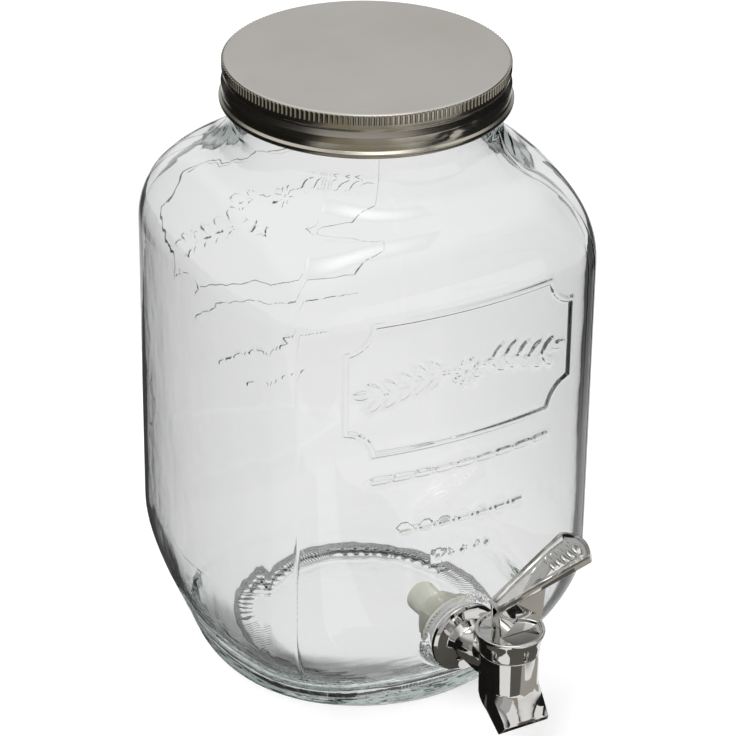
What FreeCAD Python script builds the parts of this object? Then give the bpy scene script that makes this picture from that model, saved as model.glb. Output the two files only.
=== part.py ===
import FreeCAD, Part
import math
import os

from FreeCAD import Vector

os.makedirs("parts", exist_ok=True)

# All lengths in mm. Origin on the jar axis at the table, +Z up, tap towards -Y.

# Jar body
body_half_width = 80.3
face_centre_offset = 127.7
corner_tuck = 49.8
glass_wall = 4.2
floor_thickness = 9.0
floor_corner_round = 14.0
bearing_ring_inner_radius = 50.0
push_up_height = 4.5

# Jar heel, from the bearing ring up to the straight wall
heel_base_round = 12.0
heel_taper = 20.0
heel_upper_round = 85.0
heel_top_z = 55.0
heel_rounding_depth = 15.5

# Jar shoulder and neck
shoulder_z = 182.4
shoulder_top_z = 219.5
neck_radius = 53.0
neck_wall = 4.5
neck_sweep = 20.0
rim_round = 1.8
shoulder_crown = 2.0
shoulder_top_radius = neck_radius + shoulder_crown
shoulder_top_wall = 5.2
mouth_radius = neck_radius - neck_wall

# Raised frame on the front and back of the jar
frame_centre_z = 160.0
frame_half_width = 51.0
frame_half_height = 29.0
frame_notch_radius = 11.0
frame_band = 2.4
frame_relief = 0.9

# Screw lid
neck_height = 40.5
lid_top_z = shoulder_top_z + neck_height
lid_clearance = 2.1
lid_curl_wire = 2.2
lid_sheet = 0.5
lid_radius = neck_radius + lid_clearance + lid_sheet
lid_crease_radius = lid_radius - 0.6
lid_skirt_radius = lid_radius + 0.7
lid_curl_radius = lid_skirt_radius + 0.9
lid_height = 17.4
lid_crease_drop = 7.2
lid_bead_drop = 9.4
lid_bead_end_drop = 12.0
liner_thickness = 1.2
liner_gap = 0.1

# Tap hole and its flat pad in the heel of the jar
tap_z = 42.0
tap_hole_radius = 7.0
pad_radius = 16.5
pad_draft_radius = 19.0
pad_depth = 12.0
pad_rise = 0.9
pad_face = body_half_width + pad_rise
pad_wall = 5.0
inner_pad_radius = 13.5
washer_thickness = 1.5
washer_bore_radius = 5.6

# Tap body
arm_length = 35.8
barrel_reach = pad_face + arm_length
barrel_radius = 11.6
flange_radius = 14.8
flange_thickness = 3.6
tap_neck_radius = 6.9
shank_radius = 5.3
inlet_radius = 3.2
chamber_radius = 6.8
chamber_rise = 4.6
chamber_top_z = tap_z + chamber_rise
piston_bore_radius = 8.8
chamber_drop = 3.4
chamber_floor_z = tap_z - chamber_drop
floor_plate = 1.6
seat_radius = 2.8
spigot_radius = 10.2

# Spout chute, cut square to its own slope
chute_drop = 0.3
chute_start_z = tap_z - chute_drop
chute_front_angle = 68.0
chute_slope = 36.0
lip_overhang = 13.4
lip_reach = barrel_reach + lip_overhang
lip_drop = 13.65
lip_z = tap_z - lip_drop
lip_height = 4.8
lip_top_half_width = 9.7
lip_bottom_half_width = 11.1
lip_dish = 0.6
chute_wall = 1.0
channel_start_radius = 4.2
channel_start_offset = 3.0

# Bonnet and its grip slots
bonnet_rise = 13.9
bonnet_bottom_z = tap_z + bonnet_rise
bonnet_floor_height = 8.5
bonnet_floor_z = bonnet_bottom_z + bonnet_floor_height
bonnet_floor_thickness = 2.1
bonnet_bottom_radius = 11.8
bonnet_rim_radius = 13.75
bonnet_rim_height = 1.2
bonnet_rim_z = bonnet_floor_z + bonnet_rim_height
bonnet_rim_wall = 1.5
slot_count = 6
slot_width = 2.2
slot_height = 5.6
slot_rise = 3.1
slot_z = bonnet_bottom_z + slot_rise
lug_clearance = 0.35

# Valve stem, piston and plug
stem_radius = 3.0
stem_clearance = 0.08
piston_radius = 8.5
piston_rise = 2.0
piston_z = chamber_top_z + piston_rise
piston_height = 4.0
ring_groove_width = 2.2
ring_section = 1.9
ring_clearance = 0.05
plug_radius = 5.3
plug_height = 7.4
plug_socket_depth = 4.6
tang_thickness = 3.8
spring_wire = 0.8
spring_radius = 5.4
spring_turns = 5.0

# Lever with its cam heel
pin_rise = 6.0
pin_z = bonnet_floor_z + pin_rise
pin_radius = 1.2
pin_clearance = 0.05
cam_base_radius = 5.5
cam_clearance = 0.2
cam_end_angle = 56.0
press_angle = 36.0
cheek_outer = 3.5
cheek_wall = 1.2
cheek_front = 18.8
cheek_heel = 6.0
paddle_slope = 24.5
paddle_height = 10.3
paddle_heel = 4.0
paddle_corner = 35.6
paddle_tip = 39.8
paddle_heel_half_width = 3.5
paddle_tip_half_width = 10.6
paddle_edge = 2.5
paddle_skin = 1.2
paddle_border = 1.3
paddle_recess = 0.5
rib_count = 5
rib_width = 1.2
rib_half_length = 4.4
rib_pitch = 2.7
rib_tip_gap = 6.6

# Lock nut
nut_flange_radius = 11.8
nut_flange_thickness = 2.0
nut_flat_radius = 9.6
nut_hex_length = 10.0
nut_cone_length = 4.0
nut_nose_radius = 6.4
nut_nose_length = 11.5
nut_thread_clearance = 0.1

up = Vector(0, 0, 1)
outward = Vector(0, -1, 0)
across = Vector(1, 0, 0)


def arc_edge(centre, radius, start, end, z):
    points = []
    for angle in (start, (start + end) / 2, end):
        turn = math.radians(angle)
        points.append(Vector(centre[0] + radius * math.cos(turn), centre[1] + radius * math.sin(turn), z))
    return Part.Arc(*points).toShape()


# Closed outline from corners (u, v, round), where place turns (u, v) into a point
def outline(corners, place):
    count = len(corners)
    starts = []
    ends = []
    mids = []
    for index in range(count):
        u, v, bend = corners[index]
        corner = Vector(u, v, 0)
        before = Vector(*corners[index - 1][:2], 0) - corner
        after = Vector(*corners[(index + 1) % count][:2], 0) - corner
        before.normalize()
        after.normalize()
        if bend == 0:
            starts.append(corner)
            ends.append(corner)
            mids.append(None)
            continue
        half = before.getAngle(after) / 2
        reach = bend / math.tan(half)
        middle = before + after
        middle.normalize()
        starts.append(corner + before * reach)
        ends.append(corner + after * reach)
        mids.append(corner + middle * (bend / math.sin(half) - bend))
    edges = []
    for index in range(count):
        if mids[index] is not None:
            bend_points = [place(p.x, p.y) for p in (starts[index], mids[index], ends[index])]
            edges.append(Part.Arc(*bend_points).toShape())
        a = place(ends[index].x, ends[index].y)
        following = starts[(index + 1) % count]
        b = place(following.x, following.y)
        if a.distanceToPoint(b) > 1e-6:
            edges.append(Part.makeLine(a, b))
    return Part.Wire(edges)


def turned(corners):
    face = Part.Face(outline(corners, lambda r, z: Vector(r, 0, z)))
    return face.revolve(Vector(0, 0, 0), up, 360)


# Solid turned about the tap's level axis, corners given as (radius, reach, round)
def turned_level(corners):
    face = Part.Face(outline(corners, lambda r, reach: Vector(r, -reach, tap_z)))
    return face.revolve(Vector(0, 0, tap_z), outward, 360)


def level_cylinder(radius, start, end):
    return Part.makeCylinder(radius, end - start, Vector(0, -start, tap_z), outward)


# Solid turned about the barrel's upright axis
def turned_barrel(corners):
    face = Part.Face(outline(corners, lambda r, z: Vector(r, -barrel_reach, z)))
    return face.revolve(Vector(0, -barrel_reach, 0), up, 360)


def barrel_cylinder(radius, start, end):
    return Part.makeCylinder(radius, end - start, Vector(0, -barrel_reach, start), up)


# Jar section: four bulged faces and four corners, round when squareness is 0
face_reach = math.sqrt(2 * (face_centre_offset + corner_tuck) ** 2 - face_centre_offset ** 2)
corner_unit = (face_reach - face_centre_offset) / 2
face_half_angle = math.degrees(math.atan2(corner_unit, corner_unit + face_centre_offset))


def jar_section(half_width, squareness, z):
    spread = face_centre_offset * squareness
    centre = corner_unit * squareness
    face_radius = half_width + spread
    corner_radius = half_width - corner_tuck * squareness
    edges = []
    for quarter in range(4):
        pair = [
            arc_edge((-spread, 0), face_radius, -face_half_angle, face_half_angle, z),
            arc_edge((centre, centre), corner_radius, face_half_angle, 90 - face_half_angle, z),
        ]
        for edge in pair:
            edge.rotate(Vector(0, 0, 0), up, 90 * quarter)
            edges.append(edge)
    return Part.Wire(edges)


# Heel stations (half width, z) set in from the outer skin by inset
def heel_stations(inset, floor_z, base_round):
    slope = math.radians(heel_taper)
    arc_x = body_half_width - heel_upper_round
    arc_radius = heel_upper_round - inset
    line_top = (arc_x + arc_radius * math.cos(slope), heel_top_z - arc_radius * math.sin(slope))
    line_foot_z = floor_z + base_round * (1 - math.sin(slope))
    line_foot = (line_top[0] - (line_top[1] - line_foot_z) * math.tan(slope), line_foot_z)
    ring_radius = line_foot[0] - base_round * math.cos(slope)
    stations = []
    for share in (0, 0.3, 0.6, 0.8, 1):
        turn = math.radians((90 - heel_taper) * share)
        station = (ring_radius + base_round * math.sin(turn), floor_z + base_round * (1 - math.cos(turn)))
        stations.append(station)
    stations.append(((line_top[0] + line_foot[0]) / 2, (line_top[1] + line_foot[1]) / 2))
    for share in (1, 0.75, 0.5, 0.25, 0):
        turn = slope * share
        stations.append((arc_x + arc_radius * math.cos(turn), heel_top_z - arc_radius * math.sin(turn)))
    return stations


def heel_solid(inset, floor_z, base_round):
    wires = []
    for half_width, z in heel_stations(inset, floor_z, base_round):
        share = 1 - (body_half_width - half_width - inset) / heel_rounding_depth
        wires.append(jar_section(half_width, min(1, max(0, share)), z))
    return Part.makeLoft(wires, True, False)


def wall_solid(inset):
    wire = jar_section(body_half_width - inset, 1, heel_top_z)
    return Part.Face(wire).extrude(up * (shoulder_z - heel_top_z))


# Shoulder stations (half width, squareness, z): an elliptic crown, then a hollow sweep up into the neck
def shoulder_stations(inset, top_radius, top_z, neck, sweep):
    run = body_half_width - inset - top_radius
    rise = top_z - shoulder_z
    low = 0
    high = math.pi / 2
    for step in range(40):
        turn = (low + high) / 2
        tilt = math.atan2(math.sin(turn) / rise, math.cos(turn) / run)
        if top_radius + run * math.cos(turn) + sweep * math.cos(tilt) > neck + sweep:
            low = turn
        else:
            high = turn
    stations = []
    for share in (0, 0.18, 0.36, 0.54, 0.7, 0.85, 1):
        crown_turn = turn * share
        z = shoulder_z + rise * math.sin(crown_turn)
        stations.append((top_radius + run * math.cos(crown_turn), math.cos(crown_turn), z))
    crown_end = stations[-1]
    centre_z = crown_end[2] + sweep * math.sin(tilt)
    for share in (0.75, 0.5, 0.25, 0):
        side = tilt * share
        half_width = neck + sweep - sweep * math.cos(side)
        stations.append((half_width, crown_end[1] * share, centre_z - sweep * math.sin(side)))
    return stations


def shoulder_solid(stations):
    return Part.makeLoft([jar_section(*station) for station in stations], True, False)


# Frame outline with hollowed corners, on the front of the jar
def frame_face(shrink):
    half_width = frame_half_width - shrink
    half_height = frame_half_height - shrink
    plate = Part.makePlane(2 * half_width, 2 * half_height, Vector(-half_width, -half_height, 0))
    for x in (-1, 1):
        for y in (-1, 1):
            corner = Vector(x * frame_half_width, y * frame_half_height, 0)
            circle = Part.Wire(Part.makeCircle(frame_notch_radius + shrink, corner))
            plate = plate.cut(Part.Face(circle))
    plate.rotate(Vector(0, 0, 0), across, 90)
    plate.translate(Vector(0, 0, frame_centre_z))
    return plate


def make_glass_jar():
    rim_z = lid_top_z - lid_sheet - liner_thickness - liner_gap
    skin = shoulder_stations(0, shoulder_top_radius, shoulder_top_z, neck_radius, neck_sweep)
    outer = heel_solid(0, 0, heel_base_round).fuse([
        wall_solid(0),
        shoulder_solid(skin),
        turned([
            (0, skin[-1][2], 0),
            (neck_radius, skin[-1][2], 0),
            (neck_radius, rim_z, rim_round),
            (0, rim_z, 0),
        ]),
    ])
    band = frame_face(0).cut(frame_face(frame_band))
    bar = band.extrude(Vector(0, 3 * body_half_width, 0))
    bar.translate(Vector(0, -1.5 * body_half_width, 0))
    relief_top = shoulder_top_z + frame_relief
    raised = shoulder_stations(-frame_relief, shoulder_top_radius, relief_top, neck_radius, neck_sweep)
    relief = wall_solid(-frame_relief).fuse(shoulder_solid(raised))
    outer = outer.fuse(relief.common(bar))
    pad_root = Vector(0, pad_depth - pad_face, tap_z)
    pad = Part.makeCone(pad_draft_radius, pad_radius, pad_depth, pad_root, outward)
    outer = outer.fuse(pad)
    inner_top_z = shoulder_top_z - shoulder_top_wall
    lining = shoulder_stations(glass_wall, mouth_radius + 1, inner_top_z, mouth_radius, neck_sweep + neck_wall)
    inside = heel_solid(glass_wall, floor_thickness, floor_corner_round).fuse([
        wall_solid(glass_wall),
        shoulder_solid(lining),
        turned([
            (0, lining[-1][2], 0),
            (mouth_radius, lining[-1][2], 0),
            (mouth_radius, rim_z - 2, 0),
            (mouth_radius + 1.4, rim_z + 1, 0),
            (0, rim_z + 1, 0),
        ]),
    ])
    push_up = turned([
        (0, -1, 0),
        (bearing_ring_inner_radius, -1, 0),
        (bearing_ring_inner_radius, 0, 0),
        (bearing_ring_inner_radius - 8, push_up_height - 1.5, 6),
        (0, push_up_height, 0),
    ])
    jar = outer.cut(inside).cut(push_up)
    jar = jar.cut(level_cylinder(inner_pad_radius, pad_face - 5 * pad_wall, pad_face - pad_wall))
    hole = level_cylinder(tap_hole_radius, pad_face - 3 * pad_wall, pad_face + pad_wall)
    return jar.cut(hole).removeSplitter()


def make_lid_shell():
    foot = lid_top_z - lid_height
    crease_z = lid_top_z - lid_crease_drop
    bead_z = lid_top_z - lid_bead_drop
    bead_end_z = lid_top_z - lid_bead_end_drop
    curl_z = foot + lid_curl_wire
    curl_back = lid_curl_radius - lid_curl_wire + 0.5
    s = lid_sheet
    return turned([
        (0, lid_top_z, 0),
        (lid_radius, lid_top_z, 0.9),
        (lid_radius, crease_z + 1.2, 0.8),
        (lid_crease_radius, crease_z, 0.4),
        (lid_skirt_radius, bead_z, 0.8),
        (lid_skirt_radius, bead_end_z, 0.8),
        (lid_skirt_radius - 0.3, curl_z + 0.6, 0.5),
        (lid_curl_radius, curl_z - 0.3, 0.4),
        (lid_curl_radius, foot, 0.9),
        (curl_back, foot, 0.5),
        (lid_skirt_radius - 0.3 - s, curl_z, 0.3),
        (lid_skirt_radius - s, bead_end_z, 0.6),
        (lid_skirt_radius - s, bead_z, 0.6),
        (lid_crease_radius - s, crease_z, 0.4),
        (lid_radius - s, crease_z + 1.2, 0.6),
        (lid_radius - s, lid_top_z - s, 0.4),
        (0, lid_top_z - s, 0),
    ])


def make_lid_liner():
    top = lid_top_z - lid_sheet
    outer_radius = lid_radius - lid_sheet - 0.4
    return turned([
        (mouth_radius - 0.6, top, 0),
        (outer_radius, top, 0.3),
        (outer_radius, top - liner_thickness, 0.3),
        (mouth_radius - 0.6, top - liner_thickness, 0.3),
    ])


def make_outer_washer():
    ring = level_cylinder(flange_radius - 0.9, pad_face, pad_face + washer_thickness)
    return ring.cut(level_cylinder(washer_bore_radius, pad_face - 1, pad_face + washer_thickness + 1))


def make_inner_washer():
    seat = pad_face - pad_wall
    ring = level_cylinder(nut_flange_radius, seat - washer_thickness, seat)
    return ring.cut(level_cylinder(washer_bore_radius, seat - washer_thickness - 1, seat + 1))


def make_lock_nut():
    seat = pad_face - pad_wall - washer_thickness
    hex_end = seat - nut_flange_thickness - nut_hex_length
    nose = hex_end - nut_cone_length
    tip = nose - nut_nose_length
    corner_radius = nut_flat_radius / math.cos(math.radians(30))
    turned_form = turned_level([
        (0, seat, 0),
        (nut_flange_radius, seat, 0.4),
        (nut_flange_radius, seat - nut_flange_thickness, 0.4),
        (corner_radius, seat - nut_flange_thickness, 0),
        (corner_radius, hex_end + 0.8, 0),
        (nut_flat_radius - 0.4, hex_end, 0.6),
        (nut_nose_radius, nose, 1.5),
        (nut_nose_radius, tip, 0.8),
        (0, tip, 0),
    ])
    points = []
    for index in range(7):
        turn = math.radians(60 * index + 30)
        x = corner_radius * math.cos(turn)
        points.append(Vector(x, -hex_end, tap_z + corner_radius * math.sin(turn)))
    hexagon = Part.Face(Part.makePolygon(points)).extrude(outward * (seat - hex_end))
    flange = level_cylinder(nut_flange_radius, seat - nut_flange_thickness, seat)
    nose_form = level_cylinder(nut_flat_radius - 0.4, tip, hex_end + 0.4)
    nut = turned_form.common(hexagon.fuse([flange, nose_form]))
    bore = level_cylinder(shank_radius + nut_thread_clearance, tip - 1, seat + 1)
    return nut.cut(bore).removeSplitter()


# Loop of four edges where the chute leaves the barrel: front arc, side, back and side
def chute_start(radius, reach, z):
    turn = math.radians(chute_front_angle)
    x = radius * math.sin(turn)
    y = -reach - radius * math.cos(turn)
    right = Vector(x, y, z)
    left = Vector(-x, y, z)
    back_right = Vector(radius, radius - reach, z)
    back_left = Vector(-radius, radius - reach, z)
    edges = [
        arc_edge((0, -reach), radius, -90 - chute_front_angle, -90 + chute_front_angle, z),
        Part.makeLine(right, back_right),
        Part.makeLine(back_right, back_left),
        Part.makeLine(back_left, left),
    ]
    return Part.Wire(edges)


# Matching loop at the lip, square to the slope, with its top edge dished
def chute_end(shrink, run_on):
    slope = math.radians(chute_slope)
    down = Vector(0, -math.cos(slope), -math.sin(slope))
    rise = Vector(0, -math.sin(slope), math.cos(slope))
    centre = Vector(0, -lip_reach, lip_z) + down * run_on
    top = rise * (lip_height / 2 - shrink)
    bottom = rise * (shrink - lip_height / 2)
    a = centre + top + across * (shrink - lip_top_half_width)
    b = centre + top + across * (lip_top_half_width - shrink)
    c = centre + bottom + across * (lip_bottom_half_width - shrink)
    d = centre + bottom + across * (shrink - lip_bottom_half_width)
    dish = centre + top - rise * lip_dish
    edges = [Part.Arc(a, dish, b).toShape(), Part.makeLine(b, c), Part.makeLine(c, d), Part.makeLine(d, a)]
    return Part.Wire(edges)


# Everything below the chute's flat underside, from the lip back under the barrel
def underside_wedge():
    slope = math.radians(chute_slope)
    lip_y = -lip_reach + lip_height / 2 * math.sin(slope)
    low_z = lip_z - lip_height / 2 * math.cos(slope)
    back_y = barrel_radius - barrel_reach
    grade = (chute_start_z - low_z) / (back_y - lip_y)
    margin = 2 * barrel_radius
    start_y = lip_y - margin
    end_y = back_y + margin
    start_z = low_z - margin * grade
    end_z = chute_start_z + margin * grade
    corners = [(start_y, start_z), (end_y, end_z), (end_y, 0), (start_y, 0), (start_y, start_z)]
    points = [Vector(-margin, y, z) for y, z in corners]
    return Part.Face(Part.makePolygon(points)).extrude(across * 2 * margin)


def make_tap_body():
    flange_back = pad_face + washer_thickness
    flange_front = flange_back + flange_thickness
    tail = pad_face - pad_wall - washer_thickness - nut_flange_thickness - nut_hex_length
    tail = tail - nut_cone_length - nut_nose_length + 1.5
    arm = turned_level([
        (0, tail, 0),
        (shank_radius, tail, 0.6),
        (shank_radius, flange_back, 0),
        (flange_radius - 0.5, flange_back, 0),
        (flange_radius, flange_back + 0.6, 0.4),
        (flange_radius, flange_back + 2.0, 0.5),
        (flange_radius - 1.4, flange_front - 0.7, 0.4),
        (tap_neck_radius + 2.6, flange_front, 0.8),
        (tap_neck_radius, flange_front + 2.6, 2.0),
        (tap_neck_radius, barrel_reach - 3, 2.5),
        (0, barrel_reach - 3, 0),
    ])
    barrel = turned_barrel([
        (0, lip_z, 0),
        (barrel_radius, lip_z, 0),
        (barrel_radius, bonnet_bottom_z - 0.3, 0.4),
        (spigot_radius, bonnet_bottom_z - 0.3, 0),
        (spigot_radius, bonnet_floor_z - bonnet_floor_thickness - 0.2, 0.4),
        (0, bonnet_floor_z - bonnet_floor_thickness - 0.2, 0),
    ])
    chute_root = chute_start(barrel_radius, barrel_reach, chute_start_z)
    chute = Part.makeLoft([chute_root, chute_end(0, 0)], True, True)
    deep = 3 * barrel_radius
    room_corner = Vector(-barrel_radius, -barrel_reach - deep, chute_start_z - deep)
    room = Part.makeBox(2 * barrel_radius, deep, deep, room_corner)
    chute = chute.common(room.fuse(barrel_cylinder(barrel_radius, chute_start_z - deep, chute_start_z)))
    body = barrel.cut(underside_wedge()).fuse([arm, chute])
    lug_width = slot_width - 2 * lug_clearance
    lug_height = slot_height - 2 * lug_clearance
    lug_reach = spigot_radius + 1.0
    for index in range(slot_count):
        lug_corner = Vector(-lug_width / 2, -lug_reach, slot_z - lug_height / 2)
        lug = Part.makeBox(lug_width, 3, lug_height, lug_corner)
        lug.rotate(Vector(0, 0, 0), up, 360 / slot_count * index)
        lug.translate(outward * barrel_reach)
        body = body.fuse(lug)
    body = body.cut(barrel_cylinder(chamber_radius, chamber_floor_z, bonnet_floor_z))
    body = body.cut(barrel_cylinder(piston_bore_radius, chamber_top_z, bonnet_floor_z))
    body = body.cut(level_cylinder(inlet_radius, tail - 1, barrel_reach - 3))
    plate_bottom = chamber_floor_z - floor_plate
    body = body.cut(barrel_cylinder(seat_radius, plate_bottom, chamber_floor_z + 1))
    channel_start = chute_start(channel_start_radius, barrel_reach + channel_start_offset, plate_bottom)
    channel = Part.makeLoft([channel_start, chute_end(chute_wall, 1.0)], True, True)
    return body.cut(channel).removeSplitter()


def make_bonnet():
    under = bonnet_floor_z - bonnet_floor_thickness
    shell = turned_barrel([
        (stem_radius + stem_clearance, under, 0),
        (spigot_radius + 0.15, under, 0),
        (spigot_radius + 0.15, bonnet_bottom_z, 0),
        (bonnet_bottom_radius, bonnet_bottom_z, 0.4),
        (bonnet_bottom_radius + 0.6, (bonnet_bottom_z + bonnet_rim_z) / 2, 12),
        (bonnet_rim_radius, bonnet_rim_z - 1.2, 1.0),
        (bonnet_rim_radius - 0.1, bonnet_rim_z, 0.6),
        (bonnet_rim_radius - bonnet_rim_wall, bonnet_rim_z, 0.5),
        (bonnet_rim_radius - bonnet_rim_wall - 0.5, bonnet_floor_z, 0.4),
        (stem_radius + stem_clearance, bonnet_floor_z, 0),
    ])
    straight = slot_height - slot_width
    half = slot_width / 2
    depth = barrel_radius + 4
    for index in range(slot_count):
        slot = Part.makeBox(slot_width, depth, straight, Vector(-half, -depth, slot_z - straight / 2))
        for end in (-1, 1):
            centre = Vector(0, 0, slot_z + end * straight / 2)
            slot = slot.fuse(Part.makeCylinder(half, depth, centre, outward))
        slot.rotate(Vector(0, 0, 0), up, 360 / slot_count * index)
        slot.translate(outward * barrel_reach)
        shell = shell.cut(slot)
    return shell.removeSplitter()


def make_valve_stem():
    foot = chamber_floor_z + plug_height - plug_socket_depth + 0.2
    piston_top = piston_z + piston_height
    groove = piston_z + (piston_height - ring_groove_width) / 2
    groove_radius = piston_bore_radius - ring_section - 2 * ring_clearance
    tang_top = pin_z + stem_radius
    flat_foot = bonnet_floor_z - cam_base_radius * math.radians(press_angle) - cam_clearance
    stem = turned_barrel([
        (0, foot, 0),
        (stem_radius, foot, 0.4),
        (stem_radius, piston_z, 0),
        (piston_radius, piston_z, 0.3),
        (piston_radius, groove, 0),
        (groove_radius, groove, 0),
        (groove_radius, groove + ring_groove_width, 0),
        (piston_radius, groove + ring_groove_width, 0),
        (piston_radius, piston_top, 0.3),
        (stem_radius, piston_top, 0),
        (stem_radius, tang_top, stem_radius - 0.2),
        (0, tang_top, 0),
    ])
    for side in (-1, 1):
        flat_y = side * (tang_thickness / 2 + stem_radius) - barrel_reach
        corner = Vector(-2 * stem_radius, flat_y - stem_radius, flat_foot)
        flat = Part.makeBox(4 * stem_radius, 2 * stem_radius, tang_top - flat_foot, corner)
        stem = stem.cut(flat)
    back = Vector(0, 2 * stem_radius - barrel_reach, pin_z)
    hole = Part.makeCylinder(pin_radius, 4 * stem_radius, back, outward)
    return stem.cut(hole).removeSplitter()


def make_stem_o_ring():
    middle = piston_bore_radius - ring_clearance - ring_section / 2
    centre = Vector(0, -barrel_reach, piston_z + piston_height / 2)
    return Part.makeTorus(middle, ring_section / 2, centre, up)


def make_valve_plug():
    top = chamber_floor_z + plug_height
    socket = stem_radius + stem_clearance
    return turned_barrel([
        (0, chamber_floor_z - 0.8, 0),
        (seat_radius - 0.9, chamber_floor_z - 0.8, 0.4),
        (seat_radius - 0.3, chamber_floor_z, 0),
        (plug_radius, chamber_floor_z, 0.3),
        (plug_radius, chamber_floor_z + 2.2, 0.4),
        (stem_radius + 1.6, chamber_floor_z + 3.6, 0.6),
        (stem_radius + 1.6, top, 0.4),
        (socket, top, 0),
        (socket, top - plug_socket_depth, 0),
        (0, top - plug_socket_depth, 0),
    ])


# Arc that leaves start towards control and ends at finish, both legs the same length
def tangent_arc(start, control, finish):
    leg = start.distanceToPoint(control)
    half_chord = start.distanceToPoint(finish) / 2
    middle = (start + finish) * 0.5
    toward = control - middle
    gap = toward.Length
    toward.normalize()
    return Part.Arc(start, middle + toward * (half_chord * (leg - half_chord) / gap), finish).toShape()


# Least clear distance between one turn of the coil and the next, from points along it
def coil_gap(path):
    points = path.discretize(int(spring_turns * 120) + 1)
    least = path.Length
    for index, point in enumerate(points):
        for other in points[index + 60:index + 181]:
            least = min(least, point.distanceToPoint(other))
    return least - spring_wire


def make_return_spring():
    bottom = piston_z + piston_height + spring_wire / 2 + 0.05
    top = bonnet_floor_z - bonnet_floor_thickness - spring_wire / 2 - 0.05
    rise = (top - bottom) / spring_turns / (2 * math.pi)
    edges = []
    quarters = int(spring_turns * 4)
    for index in range(quarters):
        ends = []
        for step in (index, index + 1):
            turn = step * math.pi / 2
            x = spring_radius * math.cos(turn)
            y = spring_radius * math.sin(turn)
            point = Vector(x, y - barrel_reach, bottom + rise * turn)
            tangent = Vector(-y, x, rise)
            tangent.normalize()
            ends.append((point, tangent))
        (p0, t0), (p1, t1) = ends
        chord = p1 - p0
        both = t0 + t1
        square = 2 * (1 - t0.dot(t1))
        along = chord.dot(both)
        leg = (math.sqrt(along ** 2 + square * chord.dot(chord)) - along) / square
        q0 = p0 + t0 * leg
        q1 = p1 - t1 * leg
        joint = (q0 + q1) * 0.5
        edges.append(tangent_arc(p0, q0, joint))
        edges.append(tangent_arc(joint, q1, p1))
    path = Part.Wire(edges)
    print("return_spring least gap", round(coil_gap(path), 3))
    start = Vector(spring_radius, -barrel_reach, bottom)
    section = Part.Wire(Part.makeCircle(spring_wire / 2, start, Vector(0, spring_radius, rise)))
    return path.makePipeShell([section], True, False)


# Point in the lever's upright plane, from the pin
def lever_point(x, z):
    return Vector(x, -barrel_reach, pin_z + z)


# Cam outline: flat foot, then an involute that lifts the pin evenly as the lever tips
def cam_point(angle):
    foot = pin_z - bonnet_floor_z - cam_clearance
    turn = math.radians(angle)
    reach = foot + cam_base_radius * turn
    x = reach * math.sin(turn) + cam_base_radius * math.cos(turn)
    z = cam_base_radius * math.sin(turn) - reach * math.cos(turn)
    return lever_point(x, z)


# Point on the paddle's top plane: along it from below the pin, across it, and down through it
def paddle_point(along, side, drop):
    slope = math.radians(paddle_slope)
    x = along * math.cos(slope) - (paddle_height - drop) * math.sin(slope)
    z = along * math.sin(slope) + (paddle_height - drop) * math.cos(slope)
    return Vector(x, side - barrel_reach, pin_z + z)


def paddle_form(shrink, top, bottom):
    heel = -paddle_heel + shrink
    run = paddle_corner + paddle_heel
    flare = (paddle_tip_half_width - paddle_heel_half_width) / run
    heel_half = paddle_heel_half_width + flare * shrink - shrink
    corner = paddle_corner - shrink * 0.3
    tip_half = paddle_tip_half_width - shrink
    a = paddle_point(heel, -heel_half, top)
    b = paddle_point(corner, -tip_half, top)
    c = paddle_point(paddle_tip - shrink, 0, top)
    d = paddle_point(corner, tip_half, top)
    e = paddle_point(heel, heel_half, top)
    edges = [Part.makeLine(a, b), Part.Arc(b, c, d).toShape(), Part.makeLine(d, e), Part.makeLine(e, a)]
    return Part.Face(Part.Wire(edges)).extrude(paddle_point(0, 0, bottom) - paddle_point(0, 0, top))


def make_lever():
    foot = pin_z - bonnet_floor_z - cam_clearance
    involute = Part.BSplineCurve()
    involute.interpolate([cam_point(cam_end_angle * share / 6) for share in range(7)])
    cam_end = cam_point(cam_end_angle)
    front_top = paddle_point(cheek_front, 0, paddle_edge - 0.6)
    heel_top = paddle_point(-paddle_heel, 0, paddle_edge - 0.6)
    heel_foot = lever_point(-cheek_heel, -foot)
    edges = [
        Part.makeLine(heel_foot, cam_point(0)),
        involute.toShape(),
        Part.makeLine(cam_end, front_top),
        Part.makeLine(front_top, heel_top),
        Part.makeLine(heel_top, heel_foot),
    ]
    side = Part.Face(Part.Wire(edges))
    paddle = paddle_form(0, 0, paddle_edge)
    paddle = paddle.cut(paddle_form(paddle_border, -1, paddle_recess))
    paddle = paddle.cut(paddle_form(paddle_border, paddle_recess + paddle_skin, paddle_edge + 1))
    pieces = []
    for direction in (-1, 1):
        cheek = side.extrude(Vector(0, direction * cheek_wall, 0))
        cheek.translate(Vector(0, direction * (cheek_outer - cheek_wall), 0))
        pieces.append(cheek)
    floor = paddle_recess + 0.3
    down = paddle_point(0, 0, floor) - paddle_point(0, 0, 0)
    for index in range(rib_count):
        along = paddle_tip - rib_tip_gap - rib_pitch * index
        corners = []
        for offset, half in ((0, 1), (rib_width, 1), (rib_width, -1), (0, -1), (0, 1)):
            corners.append(paddle_point(along + offset, half * rib_half_length, 0))
        pieces.append(Part.Face(Part.makePolygon(corners)).extrude(down))
    lever = paddle.fuse(pieces)
    back = Vector(0, 2 * cheek_outer - barrel_reach, pin_z)
    hole = Part.makeCylinder(pin_radius + pin_clearance, 4 * cheek_outer, back, outward)
    return lever.cut(hole).removeSplitter()


def make_lever_pin():
    start = Vector(0, cheek_outer - 0.1 - barrel_reach, pin_z)
    return Part.makeCylinder(pin_radius, 2 * (cheek_outer - 0.1), start, outward)


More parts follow.
